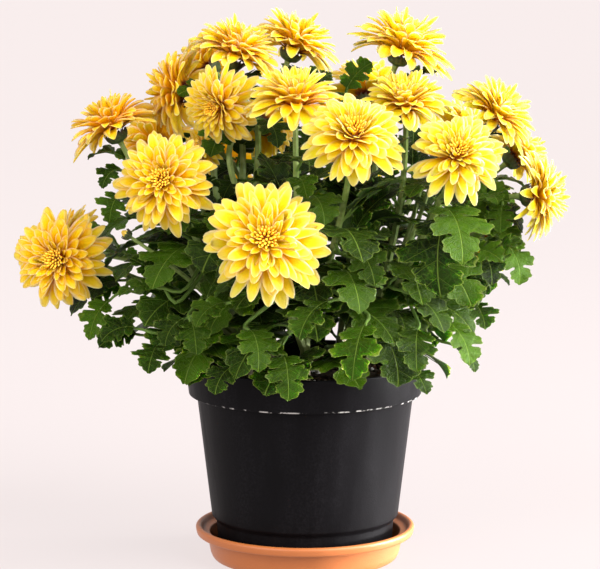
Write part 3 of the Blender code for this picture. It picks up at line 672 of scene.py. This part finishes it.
def leaf_slots():
    """Where leaves leave the stems: plant, seed, root point and how the leaf would like to sit."""
    paths = {(plant, order): path for plant, order, _, _, _, path in shoots(25)}
    slots = [(plant, 9000 + i, paths[plant, order][step], wish)
             for i, (plant, order, step, wish) in enumerate(SHAPING_LEAVES)]
    draw = random.Random(11)
    for plant in PLANTS:
        stem = main_stem(plant)
        out = PLANT_AZIMUTHS[plant - 1]
        for i, turn in enumerate((-62, 34, -14, 66, 12)):
            wish = (out + turn, draw.uniform(22, 38), draw.uniform(85, 110), draw.uniform(-12, 12), 60)
            slots.append((plant, 7000 + plant * 10 + i, stem[1].lerp(stem[2], 0.2 + 0.2 * i), wish))
    for i, (step, size) in enumerate(((4, 60), (9, 56), (14, 48), (18, 34))):
        for (plant, order), path in paths.items():
            if (i == 3 and order % 4) or (i == 2 and (order + plant) % 2):
                continue
            root = path[step]
            radial = math.degrees(math.atan2(root.y, root.x)) + 40 * ((i + order) % 3 - 1)
            radial += draw.uniform(-14, 14) + (150 if i == 2 else 0)
            wish = (radial, draw.uniform(10, 42), draw.uniform(60, 100), draw.uniform(-18, 18), size)
            slots.append((plant, plant * 1000 + order * 10 + i, root, wish))
    return slots


def leaf_grid():
    """Along, out, share and depth at each crossing of the leaf's grid. Its rows follow the margin, and its
    loop goes over the blade and back under. A Catmull-Rom curve through the outline keeps the teeth blunt."""
    key = np.array(LEAF_MARGIN)
    t = np.linspace(0, len(key) - 1, LEAF_SAMPLES)
    i = np.clip(t.astype(int), 0, len(key) - 2)
    f = (t - i)[:, None]
    before, after = key[np.maximum(i - 1, 0)], key[np.minimum(i + 2, len(key) - 1)]
    here, nxt = key[i], key[i + 1]
    curve = 0.5 * (2 * here + (nxt - before) * f + (2 * before - 5 * here + 4 * nxt - after) * f**2
                   + (3 * here - before - 3 * nxt + after) * f**3)
    edge, out, rib = curve[:, 0:1], curve[:, 1:2], curve[:, 2:3]
    b = np.array([-1.0, -0.62, -0.22, 0.0, 0.22, 0.62, 1.0, 0.55, 0.0, -0.55])
    share = np.abs(b) + 0 * rib
    below = np.array([0, 0, 0, 0, 0, 0, 0, -0.8, -1.0, -0.8]) + 0 * rib
    return rib + (edge - rib) * share, out * b, share, below


LEAF_S, LEAF_W, LEAF_SHARE, LEAF_BELOW = leaf_grid()
LEAF_ROWS, LEAF_LOOP = LEAF_S.shape


def add_leaf(batch, root, choice, draw, tone):
    """One leaf: the blade, its halves uneven, twisted, bent aside by the square of the length, with a waved
    margin and puckered lobes, then its stalk and the rib under the blade."""
    length = choice[4]
    wave, phase, pucker = draw.uniform(0.012, 0.042), draw.uniform(0, 6.3, 2), draw.uniform(0.3, 0.9)
    twist, sickle, sweep = draw.uniform(-0.45, 0.45), draw.uniform(-0.09, 0.09), draw.uniform(-0.10, 0.16)
    turn = np.where(LEAF_W < 0, phase[0], phase[1])
    along = LEAF_S + sweep * np.abs(LEAF_W) * (1 - LEAF_S)
    across = LEAF_W * (1 + 0.13 * np.sin(7 * LEAF_S + turn)) + sickle * LEAF_S**2
    off = wave * length * LEAF_SHARE**2 * np.sin(LEAF_S * 15 + turn) + twist * length * LEAF_W * LEAF_S
    lobed = np.sin((LEAF_S - 0.7 * np.abs(LEAF_W)) * 2 * math.pi / 0.175)
    off += pucker * lobed * LEAF_SHARE * (1 - LEAF_SHARE) * 2
    off = off + LEAF_BELOW * LEAF_THICK
    blade = on_leaf(root, *choice, along * length, across * length, off)
    sides = [0, 0, 0, 0, 0, 0, 1, 1, 1, 1] * (LEAF_ROWS - 1) + [0, 0]
    uv = np.stack([LEAF_S, LEAF_W + 0.5], -1)
    batch.add(blade, swept_faces(LEAF_ROWS, LEAF_LOOP), sides, uv, margin=LEAF_SHARE.ravel(), tone=tone)
    s = np.array([-STALK_LENGTH, -6, -3, 0, 0.10 * length, 0.3 * length, 0.55 * length, 0.8 * length])
    thick = np.array([1.15, 1.0, 0.95, 0.95, 0.85, 0.65, 0.45, 0.2])
    angle = np.linspace(0, math.tau, 6, endpoint=False)[None, :]
    sunk = np.where(s < 0, 0.0, -0.75 * thick - 0.1)[:, None]
    bent = sickle * length * (np.maximum(s, 0) / length)[:, None] ** 2
    aside, above = bent - thick[:, None] * np.cos(angle), sunk + thick[:, None] * np.sin(angle)
    rib = on_leaf(root, *choice, s[:, None] + 0 * angle, aside, above)
    batch.add(rib, swept_faces(len(s), 6), 2, np.full((len(s) * 6, 2), 0.5), margin=0.0, tone=tone)


def leaf_skin(name, dark, light, vein, roughness, down):
    """Colour follows the leaf's own map: veins leave the midrib forwards, the margin is paler, and leaves
    nearer the heart of the plant, where the foliage lies in shadow, are painted darker as shade."""
    made, tree, shader, place = skin(name, Specular_IOR_Level=0.07, Subsurface_Weight=0.2, Sheen_Weight=down,
                                     Subsurface_Radius=(0.5, 1.0, 0.15), Subsurface_Scale=0.002)
    uv = node(tree, "UVMap", {"uv_map": "UVMap"}).outputs[0]
    along, across, _ = node(tree, "SeparateXYZ", Vector=uv).outputs
    out = maths(tree, "ABSOLUTE", maths(tree, "SUBTRACT", across, 0.5))
    forward = maths(tree, "SUBTRACT", along, times(tree, out, 0.75))
    lateral = maths(tree, "PINGPONG", maths(tree, "SUBTRACT", forward, 0.08), 0.0875)
    bent = node(tree, "TexNoise", Vector=uv, Scale=9.0, Detail=2.0).outputs["Color"]
    wavy = node(tree, "VectorMath", {"operation": "MULTIPLY_ADD"}, i0=bent, i1=(0.05, 0.05, 0.0), i2=uv)
    midrib = span(tree, out, 0.003, 0.012, 0.8, 0.0)
    veins = maths(tree, "MAXIMUM", midrib, span(tree, lateral, 0.001, 0.007, 0.5, 0.0))
    for scale, reach, strength in ((34.0, 0.10, 0.08), (13.0, 0.07, 0.16)):
        cells = node(tree, "TexVoronoi", {"feature": "DISTANCE_TO_EDGE"}, Vector=wavy.outputs[0], Scale=scale)
        net = span(tree, cells.outputs["Distance"], 0.0, reach, strength, 0.0)
        veins = maths(tree, "MAXIMUM", veins, net)
    cloud = noise(tree, place, 55.0, 4.0)
    away = node(tree, "VectorMath", {"operation": "DISTANCE"}, i0=place, i1=HEART).outputs["Value"]
    # Painted shade: leaf colour and veins go darker towards the heart of the foliage.
    outer = span(tree, away, 0.050, 0.115, 0.2, 1.0)
    tone = maths(tree, "POWER", attribute(tree, "tone"), 2.0)
    depth = maths(tree, "MULTIPLY_ADD", tone, 0.75, span(tree, cloud, 0.3, 0.7, 0.0, 0.25))
    colour = mixed(tree, times(tree, depth, outer), dark, light)
    colour = mixed(tree, times(tree, times(tree, veins, 0.75), outer), colour, vein)
    colour = mixed(tree, span(tree, attribute(tree, "margin"), 0.93, 1.0, 0.0, 0.55), colour, vein)
    relief = maths(tree, "SUBTRACT", times(tree, noise(tree, place, 900.0, 3.0), 0.45), veins)
    rough = span(tree, cloud, 0.3, 0.7, roughness - 0.06, roughness + 0.08)
    finished(tree, shader, colour, relief, 0.0014, rough)
    return made


LEAF_DARK = (0.0006, 0.003, 0.0001)
LEAF_LIGHT = (0.045, 0.104, 0.0023)
LEAF_VEIN = (0.175, 0.268, 0.038)
leaf_skins = [
    leaf_skin("leaf_upper", LEAF_DARK, LEAF_LIGHT, LEAF_VEIN, 0.30, 0.0),
    leaf_skin("leaf_lower", (0.016, 0.040, 0.003), (0.056, 0.106, 0.012), (0.150, 0.225, 0.050), 0.60, 0.03),
    leaf_skin("leaf_stalk", (0.080, 0.160, 0.020), (0.150, 0.240, 0.040), (0.150, 0.240, 0.060), 0.50, 0.0),
]


def corners_of(name):
    """A CAD node's vertices in millimetres."""
    mesh = frame["nodes"][name].data
    flat = np.zeros(len(mesh.vertices) * 3)
    mesh.vertices.foreach_get("co", flat)
    return flat.reshape(-1, 3) / MM


def node_tree(name):
    """Middle and search tree of a CAD node, to test new leaves against."""
    polygons = [tuple(p.vertices) for p in frame["nodes"][name].data.polygons]
    corner = corners_of(name)
    return corner.mean(axis=0), BVHTree.FromPolygons(corner.tolist(), polygons)


def sheet_tree(root, choice):
    """Middle and search tree of a coarse sheet of a leaf's blade."""
    rows = np.linspace(0, LEAF_ROWS - 1, 12).astype(int)
    s, w = LEAF_S[rows][:, [0, 3, 6]], LEAF_W[rows][:, [0, 3, 6]]
    points = on_leaf(root, *choice, s * choice[4], w * choice[4], 0 * s).reshape(-1, 3)
    quads = [(3 * i + j, 3 * i + j + 1, 3 * i + j + 4, 3 * i + j + 3) for i in range(11) for j in range(2)]
    return points.mean(axis=0), BVHTree.FromPolygons(points.tolist(), quads)


def infill_slots():
    """More leaves than the solid model has: plant, root and a way to sit. Low ones hang over the pot's rim,
    and the rest stand at random steps of every shoot, smaller towards its flower head."""
    draw = random.Random(29)
    slots = []
    for plant in PLANTS:
        stem = main_stem(plant)
        for i in range(RIM_LEAVES):
            root = stem[2].lerp(stem[3], draw.uniform(-0.5, 1.0))
            turn = PLANT_AZIMUTHS[plant - 1] + draw.uniform(-85, 85)
            rise, droop, roll = draw.uniform(18, 42), draw.uniform(100, 140), draw.uniform(-14, 14)
            slots.append((plant, root, (turn, rise, droop, roll, draw.uniform(48, 68))))
    grown = shoots(25)
    for i in range(SHOOT_LEAVES):
        plant, *_, path = grown[i % len(grown)]
        step = draw.randint(2, 22)
        size = (64 - 1.55 * step) * draw.uniform(0.72, 1.0)
        slots.append((plant, path[step], (draw.uniform(-180, 180), draw.uniform(8, 58), draw.uniform(35, 115),
                                          draw.uniform(-20, 20), size)))
    return slots


# Leaves read off the photograph, in mm: where the blade's foot and its tip are seen, as across and
# height on the upright plane through the pot's axis, how deep the foot stands (y), how far the tip comes
# forward of it, and how many degrees the blade bends down. A leaf that finds no free place stays out.
PHOTO_LEAVES = (
    (-14, 235, -31, 264, -40, -12, 40), (-5, 237, 26, 258, -45, -5, 45), (29, 207, 0, 234, -70, -10, 45),
    (32, 214, 61, 243, -60, -10, 45), (32, 206, 57, 212, -80, 5, 50), (30, 205, 46, 179, -80, 20, 70),
    (91, 225, 83, 171, -60, 25, 80), (117, 198, 141, 205, -30, 8, 50), (106, 192, 132, 179, -35, 8, 60),
    (97, 188, 114, 166, -40, 12, 70), (91, 156, 106, 126, -55, 15, 80), (73, 150, 71, 122, -80, 22, 90),
    (39, 154, 33, 116, -90, 22, 90), (43, 155, 59, 112, -85, 20, 90), (65, 175, 89, 147, -80, 15, 70),
    (39, 181, 16, 175, -90, 8, 60), (-14, 133, -10, 103, -90, 22, 90), (-43, 127, -58, 107, -85, 15, 90),
    (66, 125, 77, 107, -70, 10, 90), (-50, 168, -70, 151, -85, 12, 80), (-77, 158, -91, 139, -70, 10, 80),
    (-74, 156, -71, 133, -75, 18, 90), (-95, 140, -101, 121, -60, 14, 80), (-94, 178, -121, 172, -60, 8, 60),
    (-126, 170, -138, 143, -30, 10, 70), (-108, 151, -133, 143, -40, 8, 70),
    (-118, 238, -126, 220, -10, 8, 90), (-117, 254, -131, 242, 0, 6, 80), (-92, 179, -114, 196, -55, -6, 50),
    (-88, 185, -94, 202, -50, -10, 40), (93, 225, 131, 231, -20, 5, 60), (-30, 267, -47, 276, 10, -8, 40),
    (26, 304, 43, 323, 20, -8, 50), (-42, 248, -51, 235, -20, 10, 80), (16, 169, -3, 143, -90, 18, 80),
    (-36, 150, -28, 122, -90, 22, 90), (106, 202, 126, 194, -45, 8, 60), (101, 214, 120, 218, -40, 4, 50),
    (-113, 169, -121, 158, -45, 8, 80), (56, 169, 43, 155, -85, 14, 80), (-58, 189, -76, 194, -75, 4, 50),
    (-64, 169, -47, 194, -80, -8, 45), (126, 209, 139, 179, -25, 10, 80), (-107, 147, -133, 137, -20, 5, 70),
    (-94, 140, -101, 121, -20, 8, 80), (-116, 176, -139, 169, -10, 5, 60), (69, 254, 70, 284, 20, -10, 40),
    (97, 140, 110, 122, -30, 8, 80), (108, 168, 117, 150, -20, 8, 80), (-3, 260, 1, 280, 20, -10, 40),
    (58, 235, 53, 255, 20, -10, 40), (-116, 241, -132, 249, 10, 0, 50), (0, 304, 18, 314, 30, -5, 50),
    (87, 145, 95, 131, -40, 8, 80), (-13, 257, -11, 276, 20, -10, 40), (115, 223, 127, 193, -20, 10, 80),
    (127, 232, 126, 213, -20, 8, 80), (122, 210, 131, 190, -30, 8, 80), (115, 198, 123, 179, -35, 10, 80),
    (-47, 255, -47, 268, 0, -8, 40), (-37, 248, -35, 260, 10, -8, 40),
)
EYE = (-3.25, -1800.0, 450.0)
FACING_ROLL = 32.0
SWAY = 20.0
SMALLEST_LEAF = 24.0
LONGEST_STALK = 46.0
RIM_LEAVES = 24
SHOOT_LEAVES = 640
NEAR = 110.0


def seen_at(x, z, depth):
    """The point at y = depth on the line from the eye through the point x, z of the plane y = 0."""
    eye = np.array(EYE)
    return eye + (np.array((x, 0.0, z)) - eye) * (depth - eye[1]) / -eye[1]


def leaf_between(foot, tip, droop, sway):
    """Root and choice of a leaf whose blade bends by droop degrees from foot to tip, rolled to face us."""
    chord = tip - foot
    straight = float(np.linalg.norm(chord))
    half = math.radians(droop / 2)
    azimuth = math.degrees(math.atan2(chord[1], chord[0]))
    rise = math.degrees(math.asin(chord[2] / straight)) + droop / 2
    roll = FACING_ROLL * math.cos(math.radians(azimuth)) + sway
    root = foot - np.array(towards(azimuth, rise)) * STALK_LENGTH
    return root, (azimuth, rise, droop, roll, straight * half / math.sin(half))


def photo_leaf_tries(foot_x, foot_z, tip_x, tip_z, depth, reach, droop, sway):
    """Ways a leaf seen in the photograph could stand, the wished one first, then nearer, farther or bent."""
    for bend in (0, 15, -15):
        for turn in (0, 8, -8):
            for step in (0, -7, 7, -14, 14, -21, 21, -28, 28, -35, 35, -42, 42):
                foot = seen_at(foot_x, foot_z, depth + step)
                tip = seen_at(tip_x, tip_z, depth + step - reach - turn)
                yield leaf_between(foot, tip, droop + bend, sway)


def stalk_curve(start, root, azimuth, rise):
    """A stalk's middle line from a shoot to where the straight end of the stalk begins: a cubic curve."""
    start, root = np.array(start), np.array(root)
    last = root - np.array(towards(azimuth, rise)) * np.linalg.norm(root - start) / 3
    first = start + (root - start) / 3
    t = np.linspace(0, 1, 7)[:, None]
    return start * (1 - t) ** 3 + first * 3 * t * (1 - t) ** 2 + last * 3 * t * t * (1 - t) + root * t**3


def has_room(middle, sheet):
    """Whether a leaf's sheet cuts nothing of what stands near it."""
    return not any(sheet.overlap(tree) for where, tree in standing if np.linalg.norm(where - middle) < NEAR)


foliage = {plant: Batch() for plant in PLANTS}
solid_corners = {plant: corners_of(f"plant_{plant}") for plant in PLANTS}
standing = [node_tree(f"bloom_{i:02d}") for i in range(1, len(BLOOMS) + 1)] + [node_tree("pot")]
draw = np.random.default_rng(3)
for plant, seed, root, wish in leaf_slots():
    for choice in leaf_choices(seed, wish):
        tip = on_leaf(root, *choice, choice[4], 0.0, 0.0)
        # The solid model holds this leaf where it has a corner at the leaf's tip.
        if np.abs(solid_corners[plant] - tip).max(axis=1).min() < 0.05:
            add_leaf(foliage[plant], root, choice, draw, draw.uniform(0, 1))
            standing.append(sheet_tree(root, choice))
            break
shoot_points = [(plant, tuple(point)) for plant, *_, path in shoots(25) for point in path[1:24]]
places = np.array([point for _, point in shoot_points])
for row in PHOTO_LEAVES:
    for root, choice in photo_leaf_tries(*row, draw.uniform(-SWAY, SWAY)):
        away = np.linalg.norm(places - root, axis=1)
        plant, start = shoot_points[away.argmin()]
        middle, sheet = sheet_tree(root, choice)
        if choice[4] < SMALLEST_LEAF or away.min() > LONGEST_STALK or not has_room(middle, sheet):
            continue
        tone = draw.uniform(0, 1)
        add_leaf(foliage[plant], root, choice, draw, tone)
        rings = tube(stalk_curve(start, root, *choice[:2]), np.linspace(1.35, 1.15, 7), 6)
        foliage[plant].add(rings, swept_faces(7, 6), 2, np.full((42, 2), 0.5), margin=0.0, tone=tone)
        standing.append((middle, sheet))
        break
for plant, root, choice in infill_slots():
    middle, sheet = sheet_tree(root, choice)
    if has_room(middle, sheet):
        add_leaf(foliage[plant], root, choice, draw, draw.uniform(0, 1))
        standing.append((middle, sheet))
for plant, batch in foliage.items():
    batch.piece(f"foliage_{plant}", leaf_skins, "foliage", [f"plant_{plant}"], sharp=60)

# Flower heads. Double, flat-domed heads of strap petals set in a spiral on the cup: broad drooping ones
# outside, shorter and more upright ones inwards, and a tight centre of small amber florets.
GOLDEN_TURN = math.radians(137.508)
PETAL_COUNT = 112
FLORET_COUNT = 40
FLORET_REACH = 0.13
PETAL_THICK = 0.28
PETAL_ALONG = np.array([0, 0.15, 0.34, 0.54, 0.72, 0.86, 0.95, 1.0])
PETAL_OVER = np.array([-1, -0.52, 0, 0.52, 1.0])
PETAL_UNDER = np.array([0.55, 0, -0.55])
# Shares of the head's radius from the outermost petal to the innermost.
STAGES = np.array([0, 0.2, 0.4, 0.6, 0.8, 1.0])
ROOT_OUT = (0.17, 0.16, 0.15, 0.13, 0.10, 0.05)
ROOT_UP = (0.04, 0.09, 0.14, 0.20, 0.26, 0.30)
BEND_OUT = (0.58, 0.54, 0.46, 0.36, 0.26, 0.18)
BEND_UP = (0.20, 0.33, 0.45, 0.52, 0.56, 0.56)
TIP_OUT = (1.00, 0.95, 0.84, 0.66, 0.43, 0.19)
TIP_UP = (-0.13, 0.10, 0.38, 0.63, 0.77, 0.76)
HALF_WIDE = (0.126, 0.124, 0.116, 0.098, 0.068, 0.036)
INNER_PETAL = (1.0, 0.62, 0.010)


def petal_rings(radius, draw):
    """Rings of every petal of a head. A petal's middle line is a parabola in its upright plane, and its
    width grows from a narrow claw to a blunt tip. Each ring is cupped, furrowed twice and turned a little."""
    k = np.arange(PETAL_COUNT)
    stage = k / (PETAL_COUNT - 1)
    turn = k * GOLDEN_TURN + draw.normal(0, 0.10, PETAL_COUNT)
    long = draw.uniform(0.90, 1.13, PETAL_COUNT)

    def share(table):
        return (radius * np.interp(stage, STAGES, table))[:, None]

    lift = draw.normal(0, 0.055, PETAL_COUNT)[:, None] * radius
    u = PETAL_ALONG[None, :]
    tip_out, tip_up = share(TIP_OUT) * long[:, None], share(TIP_UP) + lift
    bend_out, bend_up = share(BEND_OUT), share(BEND_UP) + 0.3 * lift
    out = (1 - u) ** 2 * share(ROOT_OUT) + 2 * u * (1 - u) * bend_out + u**2 * tip_out
    up = (1 - u) ** 2 * share(ROOT_UP) + 2 * u * (1 - u) * bend_up + u**2 * tip_up
    slope_out = 2 * (1 - u) * (bend_out - share(ROOT_OUT)) + 2 * u * (tip_out - bend_out)
    slope_up = 2 * (1 - u) * (bend_up - share(ROOT_UP)) + 2 * u * (tip_up - bend_up)
    steep = np.hypot(slope_out, slope_up)
    slope_out, slope_up = slope_out / steep, slope_up / steep
    grow = 0.36 + 0.64 * np.sin(np.minimum(u / 0.66, 1) * math.pi / 2) ** 1.2
    blunt = draw.uniform(0.42, 0.70, PETAL_COUNT)[:, None]
    close = (1 - 0.965 * np.clip((u - 0.56) / 0.44, 0, 1) ** 2.5) ** blunt
    half = share(HALF_WIDE) * draw.uniform(0.82, 1.28, PETAL_COUNT)[:, None] * grow * close
    v = np.concatenate([PETAL_OVER, PETAL_UNDER])[None, None, :]
    half = half[:, :, None]
    cup = draw.uniform(0.05, 0.55, PETAL_COUNT)[:, None, None] * (0.5 + 0.5 * u[:, :, None])
    ridges = np.array([0, -1, 1, -1, 0, -1, 1, -1])[None, None, :]
    furrow = 0.05 * radius / 30 * ridges * 4 * u[:, :, None] * (1.2 - u[:, :, None])
    below = np.array([0, 0, 0, 0, 0, 1, 1, 1])[None, None, :] * PETAL_THICK
    over = half * cup * (v**2 - 0.2) + furrow - below
    twist = draw.normal(0, 0.28, PETAL_COUNT)[:, None, None] * u[:, :, None]
    aside = half * v * np.cos(twist) - over * np.sin(twist)
    over = half * v * np.sin(twist) + over * np.cos(twist)
    sway = draw.normal(0, 0.05, PETAL_COUNT)[:, None, None] * radius * u[:, :, None] ** 2
    r = out[:, :, None] - over * slope_up[:, :, None]
    z = up[:, :, None] + over * slope_out[:, :, None]
    side = aside + sway
    cos, sin = np.cos(turn)[:, None, None], np.sin(turn)[:, None, None]
    points = np.stack([r * cos + side * sin, r * sin - side * cos, z], -1)
    uv = np.stack(np.broadcast_arrays(u[:, :, None] + 0 * v, (v + 1) / 2 + 0 * u[:, :, None]), -1)
    uv = np.broadcast_to(uv, points.shape[:3] + (2,))
    return points, uv, np.broadcast_to(stage[:, None, None], points.shape[:3])


def floret_rings(radius, draw):
    """Rings of the centre's florets: small pods on a low dome that lean outwards, widest near the mouth."""
    k = np.arange(FLORET_COUNT)
    away = FLORET_REACH * radius * np.sqrt((k + 0.5) / FLORET_COUNT)
    turn = k * GOLDEN_TURN
    high = radius * (0.60 - 0.5 * (away / radius) ** 2 * 6) + draw.normal(0, 0.012, FLORET_COUNT) * radius
    lean = 0.2 + 1.3 * away / (FLORET_REACH * radius)
    u = np.array([0.0, 0.35, 0.75, 1.0])[None, :, None]
    angle = np.linspace(0, math.tau, 6, endpoint=False)[None, None, :]
    size = draw.uniform(0.018, 0.027, FLORET_COUNT)[:, None, None] * radius
    size = np.array([0.6, 0.8, 1.0, 0.5])[None, :, None] * size
    tall = 0.17 * radius * draw.uniform(0.8, 1.2, FLORET_COUNT)[:, None, None]
    out = away[:, None, None] + tall * u * np.sin(lean)[:, None, None] * 0.45
    z = high[:, None, None] - 0.08 * radius + tall * u
    a = turn[:, None, None]
    x = out * np.cos(a) + size * np.cos(angle)
    y = out * np.sin(a) + size * np.sin(angle)
    return np.stack(np.broadcast_arrays(x, y, z), -1)


def petal_skin(name, ramp_colours, gold, cream, pale_most, claw):
    """Colour runs along ramp_colours from claw to tip, warmer where the attribute golden is high, with a
    cream edge and fine lengthwise streaks. The attribute golden is partly painted shade on the heads away
    from the key light and partly their own warmer tone. The outer petals' foot takes the colour claw."""
    made, tree, shader, place = skin(name, Roughness=0.5, Specular_IOR_Level=0.03, Subsurface_Weight=0.7,
                                     Subsurface_Radius=(1.0, 0.8, 0.5), Subsurface_Scale=0.004)
    uv = node(tree, "UVMap", {"uv_map": "UVMap"}).outputs[0]
    along, across, _ = node(tree, "SeparateXYZ", Vector=uv).outputs
    stage = attribute(tree, "stage")
    ramp = node(tree, "ValToRGB", Fac=along)
    stops = ramp.color_ramp.elements
    (stops[0].position, stops[0].color), *middle, (stops[1].position, stops[1].color) = ramp_colours
    for where, colour in middle:
        stops.new(where).color = colour
    streaked = node(tree, "Mapping", Vector=uv, Scale=(2.0, 26.0, 1.0)).outputs[0]
    shifted = node(tree, "VectorMath", {"operation": "ADD"}, i0=streaked, i1=place).outputs[0]
    streak = noise(tree, shifted, 1.0, 3.0)
    edge = maths(tree, "ABSOLUTE", maths(tree, "SUBTRACT", across, 0.5))
    # Partly painted shade: the golden attribute warms the heads that lie away from the key light.
    colour = mixed(tree, times(tree, attribute(tree, "golden"), 0.6), ramp.outputs[0], gold)
    colour = mixed(tree, span(tree, stage, 0.6, 1.0, 0.0, 0.25), colour, INNER_PETAL)
    colour = mixed(tree, span(tree, streak, 0.45, 0.75, 0.0, 0.40), colour, gold)
    pale = times(tree, span(tree, edge, 0.25, 0.52), span(tree, along, 0.25, 0.9, 0.1, pale_most))
    colour = mixed(tree, pale, colour, cream)
    foot = times(tree, span(tree, along, 0.06, 0.24, 1.0, 0.0), span(tree, stage, 0.05, 0.30, 1.0, 0.0))
    finished(tree, shader, mixed(tree, foot, colour, claw), streak, 0.0006)
    return made


def floret_skin():
    """Yellow tubes, painted orange-brown lower down as shade where they go down between each other."""
    made, tree, shader, place = skin("floret_amber", Roughness=0.55, Specular_IOR_Level=0.3,
                                     Subsurface_Weight=0.15, Subsurface_Scale=0.001)
    height = attribute(tree, "stage")
    blotch = noise(tree, place, 700.0, 2.0)
    # Painted shade: florets darken to orange-brown towards their feet, down between each other.
    colour = mixed(tree, span(tree, height, 0.1, 0.75), (0.30, 0.070, 0.006), (1.0, 0.62, 0.030))
    colour = mixed(tree, span(tree, height, 0.80, 1.0), colour, (1.0, 0.74, 0.090))
    colour = mixed(tree, span(tree, blotch, 0.4, 0.7, 0.0, 0.3), colour, (0.85, 0.38, 0.010))
    finished(tree, shader, colour, blotch, 0.0002)
    return made


FACE_COLOURS = ((0.05, (0.97, 0.26, 0.001, 1)), (0.25, (1.0, 0.46, 0.001, 1)), (0.50, (1.0, 0.63, 0.002, 1)),
                (0.80, (1.0, 0.73, 0.014, 1)), (1.0, (1.0, 0.79, 0.14, 1)))
BACK_COLOURS = ((0.05, (0.87, 0.22, 0.001, 1)), (0.20, (0.97, 0.37, 0.001, 1)), (0.45, (1.0, 0.54, 0.002, 1)),
                (0.75, (1.0, 0.68, 0.010, 1)), (1.0, (1.0, 0.76, 0.10, 1)))
FACE_CLAW = (0.70, 0.18, 0.002)
BACK_CLAW = (0.14, 0.028, 0.012)
petal_skins = [
    petal_skin("petal_yellow", FACE_COLOURS, (0.99, 0.38, 0.001), (1.0, 0.86, 0.27), 0.60, FACE_CLAW),
    floret_skin(),
    petal_skin("petal_gold_back", BACK_COLOURS, (0.96, 0.32, 0.001), (1.0, 0.80, 0.16), 0.5, BACK_CLAW),
]
for number, (plant, base, facing, radius) in enumerate(BLOOMS, 1):
    draw = np.random.default_rng(number)
    axis = towards(*facing)
    # Painted shade in part: heads further left, away from the key light, are tinted more golden, and the rest
    # is their own warmer tone.
    golden = float(np.clip(0.32 - base[0] / 170, 0, 1))
    batch = Batch()
    rings, uv, stage = petal_rings(radius, draw)
    sides = np.tile([0, 0, 0, 0, 2, 2, 2, 2], 7 * PETAL_COUNT).tolist() + [0] * 2 * PETAL_COUNT
    batch.add(turned_towards(rings.reshape(-1, 3), axis, base), swept_faces(8, 8, PETAL_COUNT), sides, uv,
              stage=stage.ravel(), golden=golden)
    rings = floret_rings(radius, draw)
    tall = np.broadcast_to(np.array([0, 0.35, 0.75, 1.0])[None, :, None], rings.shape[:3])
    batch.add(turned_towards(rings.reshape(-1, 3), axis, base), swept_faces(4, 6, FLORET_COUNT), 1,
              stage=tall.ravel(), golden=golden)
    # The core dome under the florets takes their darkest colour as painted shade.
    core = rounded([(0, 0.5), (0.19, 0.03), (0.20, 0.30), (0.14, 0.50), (0, 0.54)], 0.1, 3) * radius
    core[0, 1] = 0.5
    points, faces = turned(core, 24)
    batch.add(turned_towards(points, axis, base), faces, 1, stage=0.0, golden=golden)
    batch.piece(f"head_{number:02d}", petal_skins, "petals", [f"bloom_{number:02d}"], sharp=60)

# Studio. A plain pale floor that runs past the picture on every side, a broad key from the upper right and
# soft light from all round. None of it is part of the object.
FLOOR_HALF = 16.0
FLOOR_COLOUR = (0.09, 0.0813, 0.0805)
FLOOR_GLOW = (0.759, 0.688, 0.682, 1.0)

mesh = bpy.data.meshes.new("floor")
corners = [(x * FLOOR_HALF, y * FLOOR_HALF, 0) for x, y in ((-1, -1), (1, -1), (1, 1), (-1, 1))]
mesh.from_pydata(corners, [], [(0, 1, 2, 3)])
floor = bpy.data.objects.new("floor", mesh)
bpy.context.scene.collection.objects.link(floor)
paper, tree, shader, place = skin("paper", Roughness=0.9, Specular_IOR_Level=0.0, Emission_Color=FLOOR_GLOW,
                                  Emission_Strength=1.0)
tooth = mixed(tree, noise(tree, place, 40.0, 3.0), FLOOR_COLOUR, tuple(c * 1.01 for c in FLOOR_COLOUR))
tree.links.new(tooth, shader.inputs["Base Color"])
mesh.materials.append(paper)

sky = bpy.data.worlds.new("studio")
sky.use_nodes = True
sky.node_tree.nodes["Background"].inputs[0].default_value = (1.0, 0.965, 0.96, 1.0)
sky.node_tree.nodes["Background"].inputs[1].default_value = 0.70
bpy.context.scene.world = sky


def lamp(name, kind, place, aim, power, size):
    """A light at place that shines at aim. Its size is an angle in degrees, or metres for an area light."""
    light = bpy.data.lights.new(name, kind)
    light.energy = power
    if kind == "SUN":
        light.angle = math.radians(size)
    elif kind == "SPOT":
        light.spot_size = math.radians(size)
        light.spot_blend = 0.8
        light.shadow_soft_size = 0.10
    else:
        light.size = size
    made = bpy.data.objects.new(name, light)
    made.location = place
    made.rotation_euler = (Vector(aim) - Vector(place)).to_track_quat("-Z", "Y").to_euler()
    bpy.context.scene.collection.objects.link(made)


MIDDLE = (0, 0, 0.18)
lamp("key", "SUN", (2.3, -1.8, 2.5), MIDDLE, 5.2, 50)
lamp("fill", "SUN", (-1.7, -2.1, 1.5), MIDDLE, 2.4, 60)
lamp("side_box", "AREA", (1.40, 0.10, 0.45), MIDDLE, 56, 1.0)
lamp("pot_lamp", "SPOT", (1.2, 0.10, 0.10), (0, 0, 0.065), 760, 8)

# Camera. A long lens a little above the flowers, looking slightly down, as the photograph was taken.
LOOK_DOWN = 8.543
LENS = 169.02
SENSOR = 36.0

view = bpy.data.cameras.new("view")
view.lens = LENS
view.sensor_width = SENSOR
camera = bpy.data.objects.new("view", view)
camera.location = Vector(EYE) * MM
camera.rotation_euler = (math.radians(90 - LOOK_DOWN), 0, 0)
bpy.context.scene.collection.objects.link(camera)
bpy.context.scene.camera = camera
bpy.context.scene.view_settings.view_transform = "Standard"
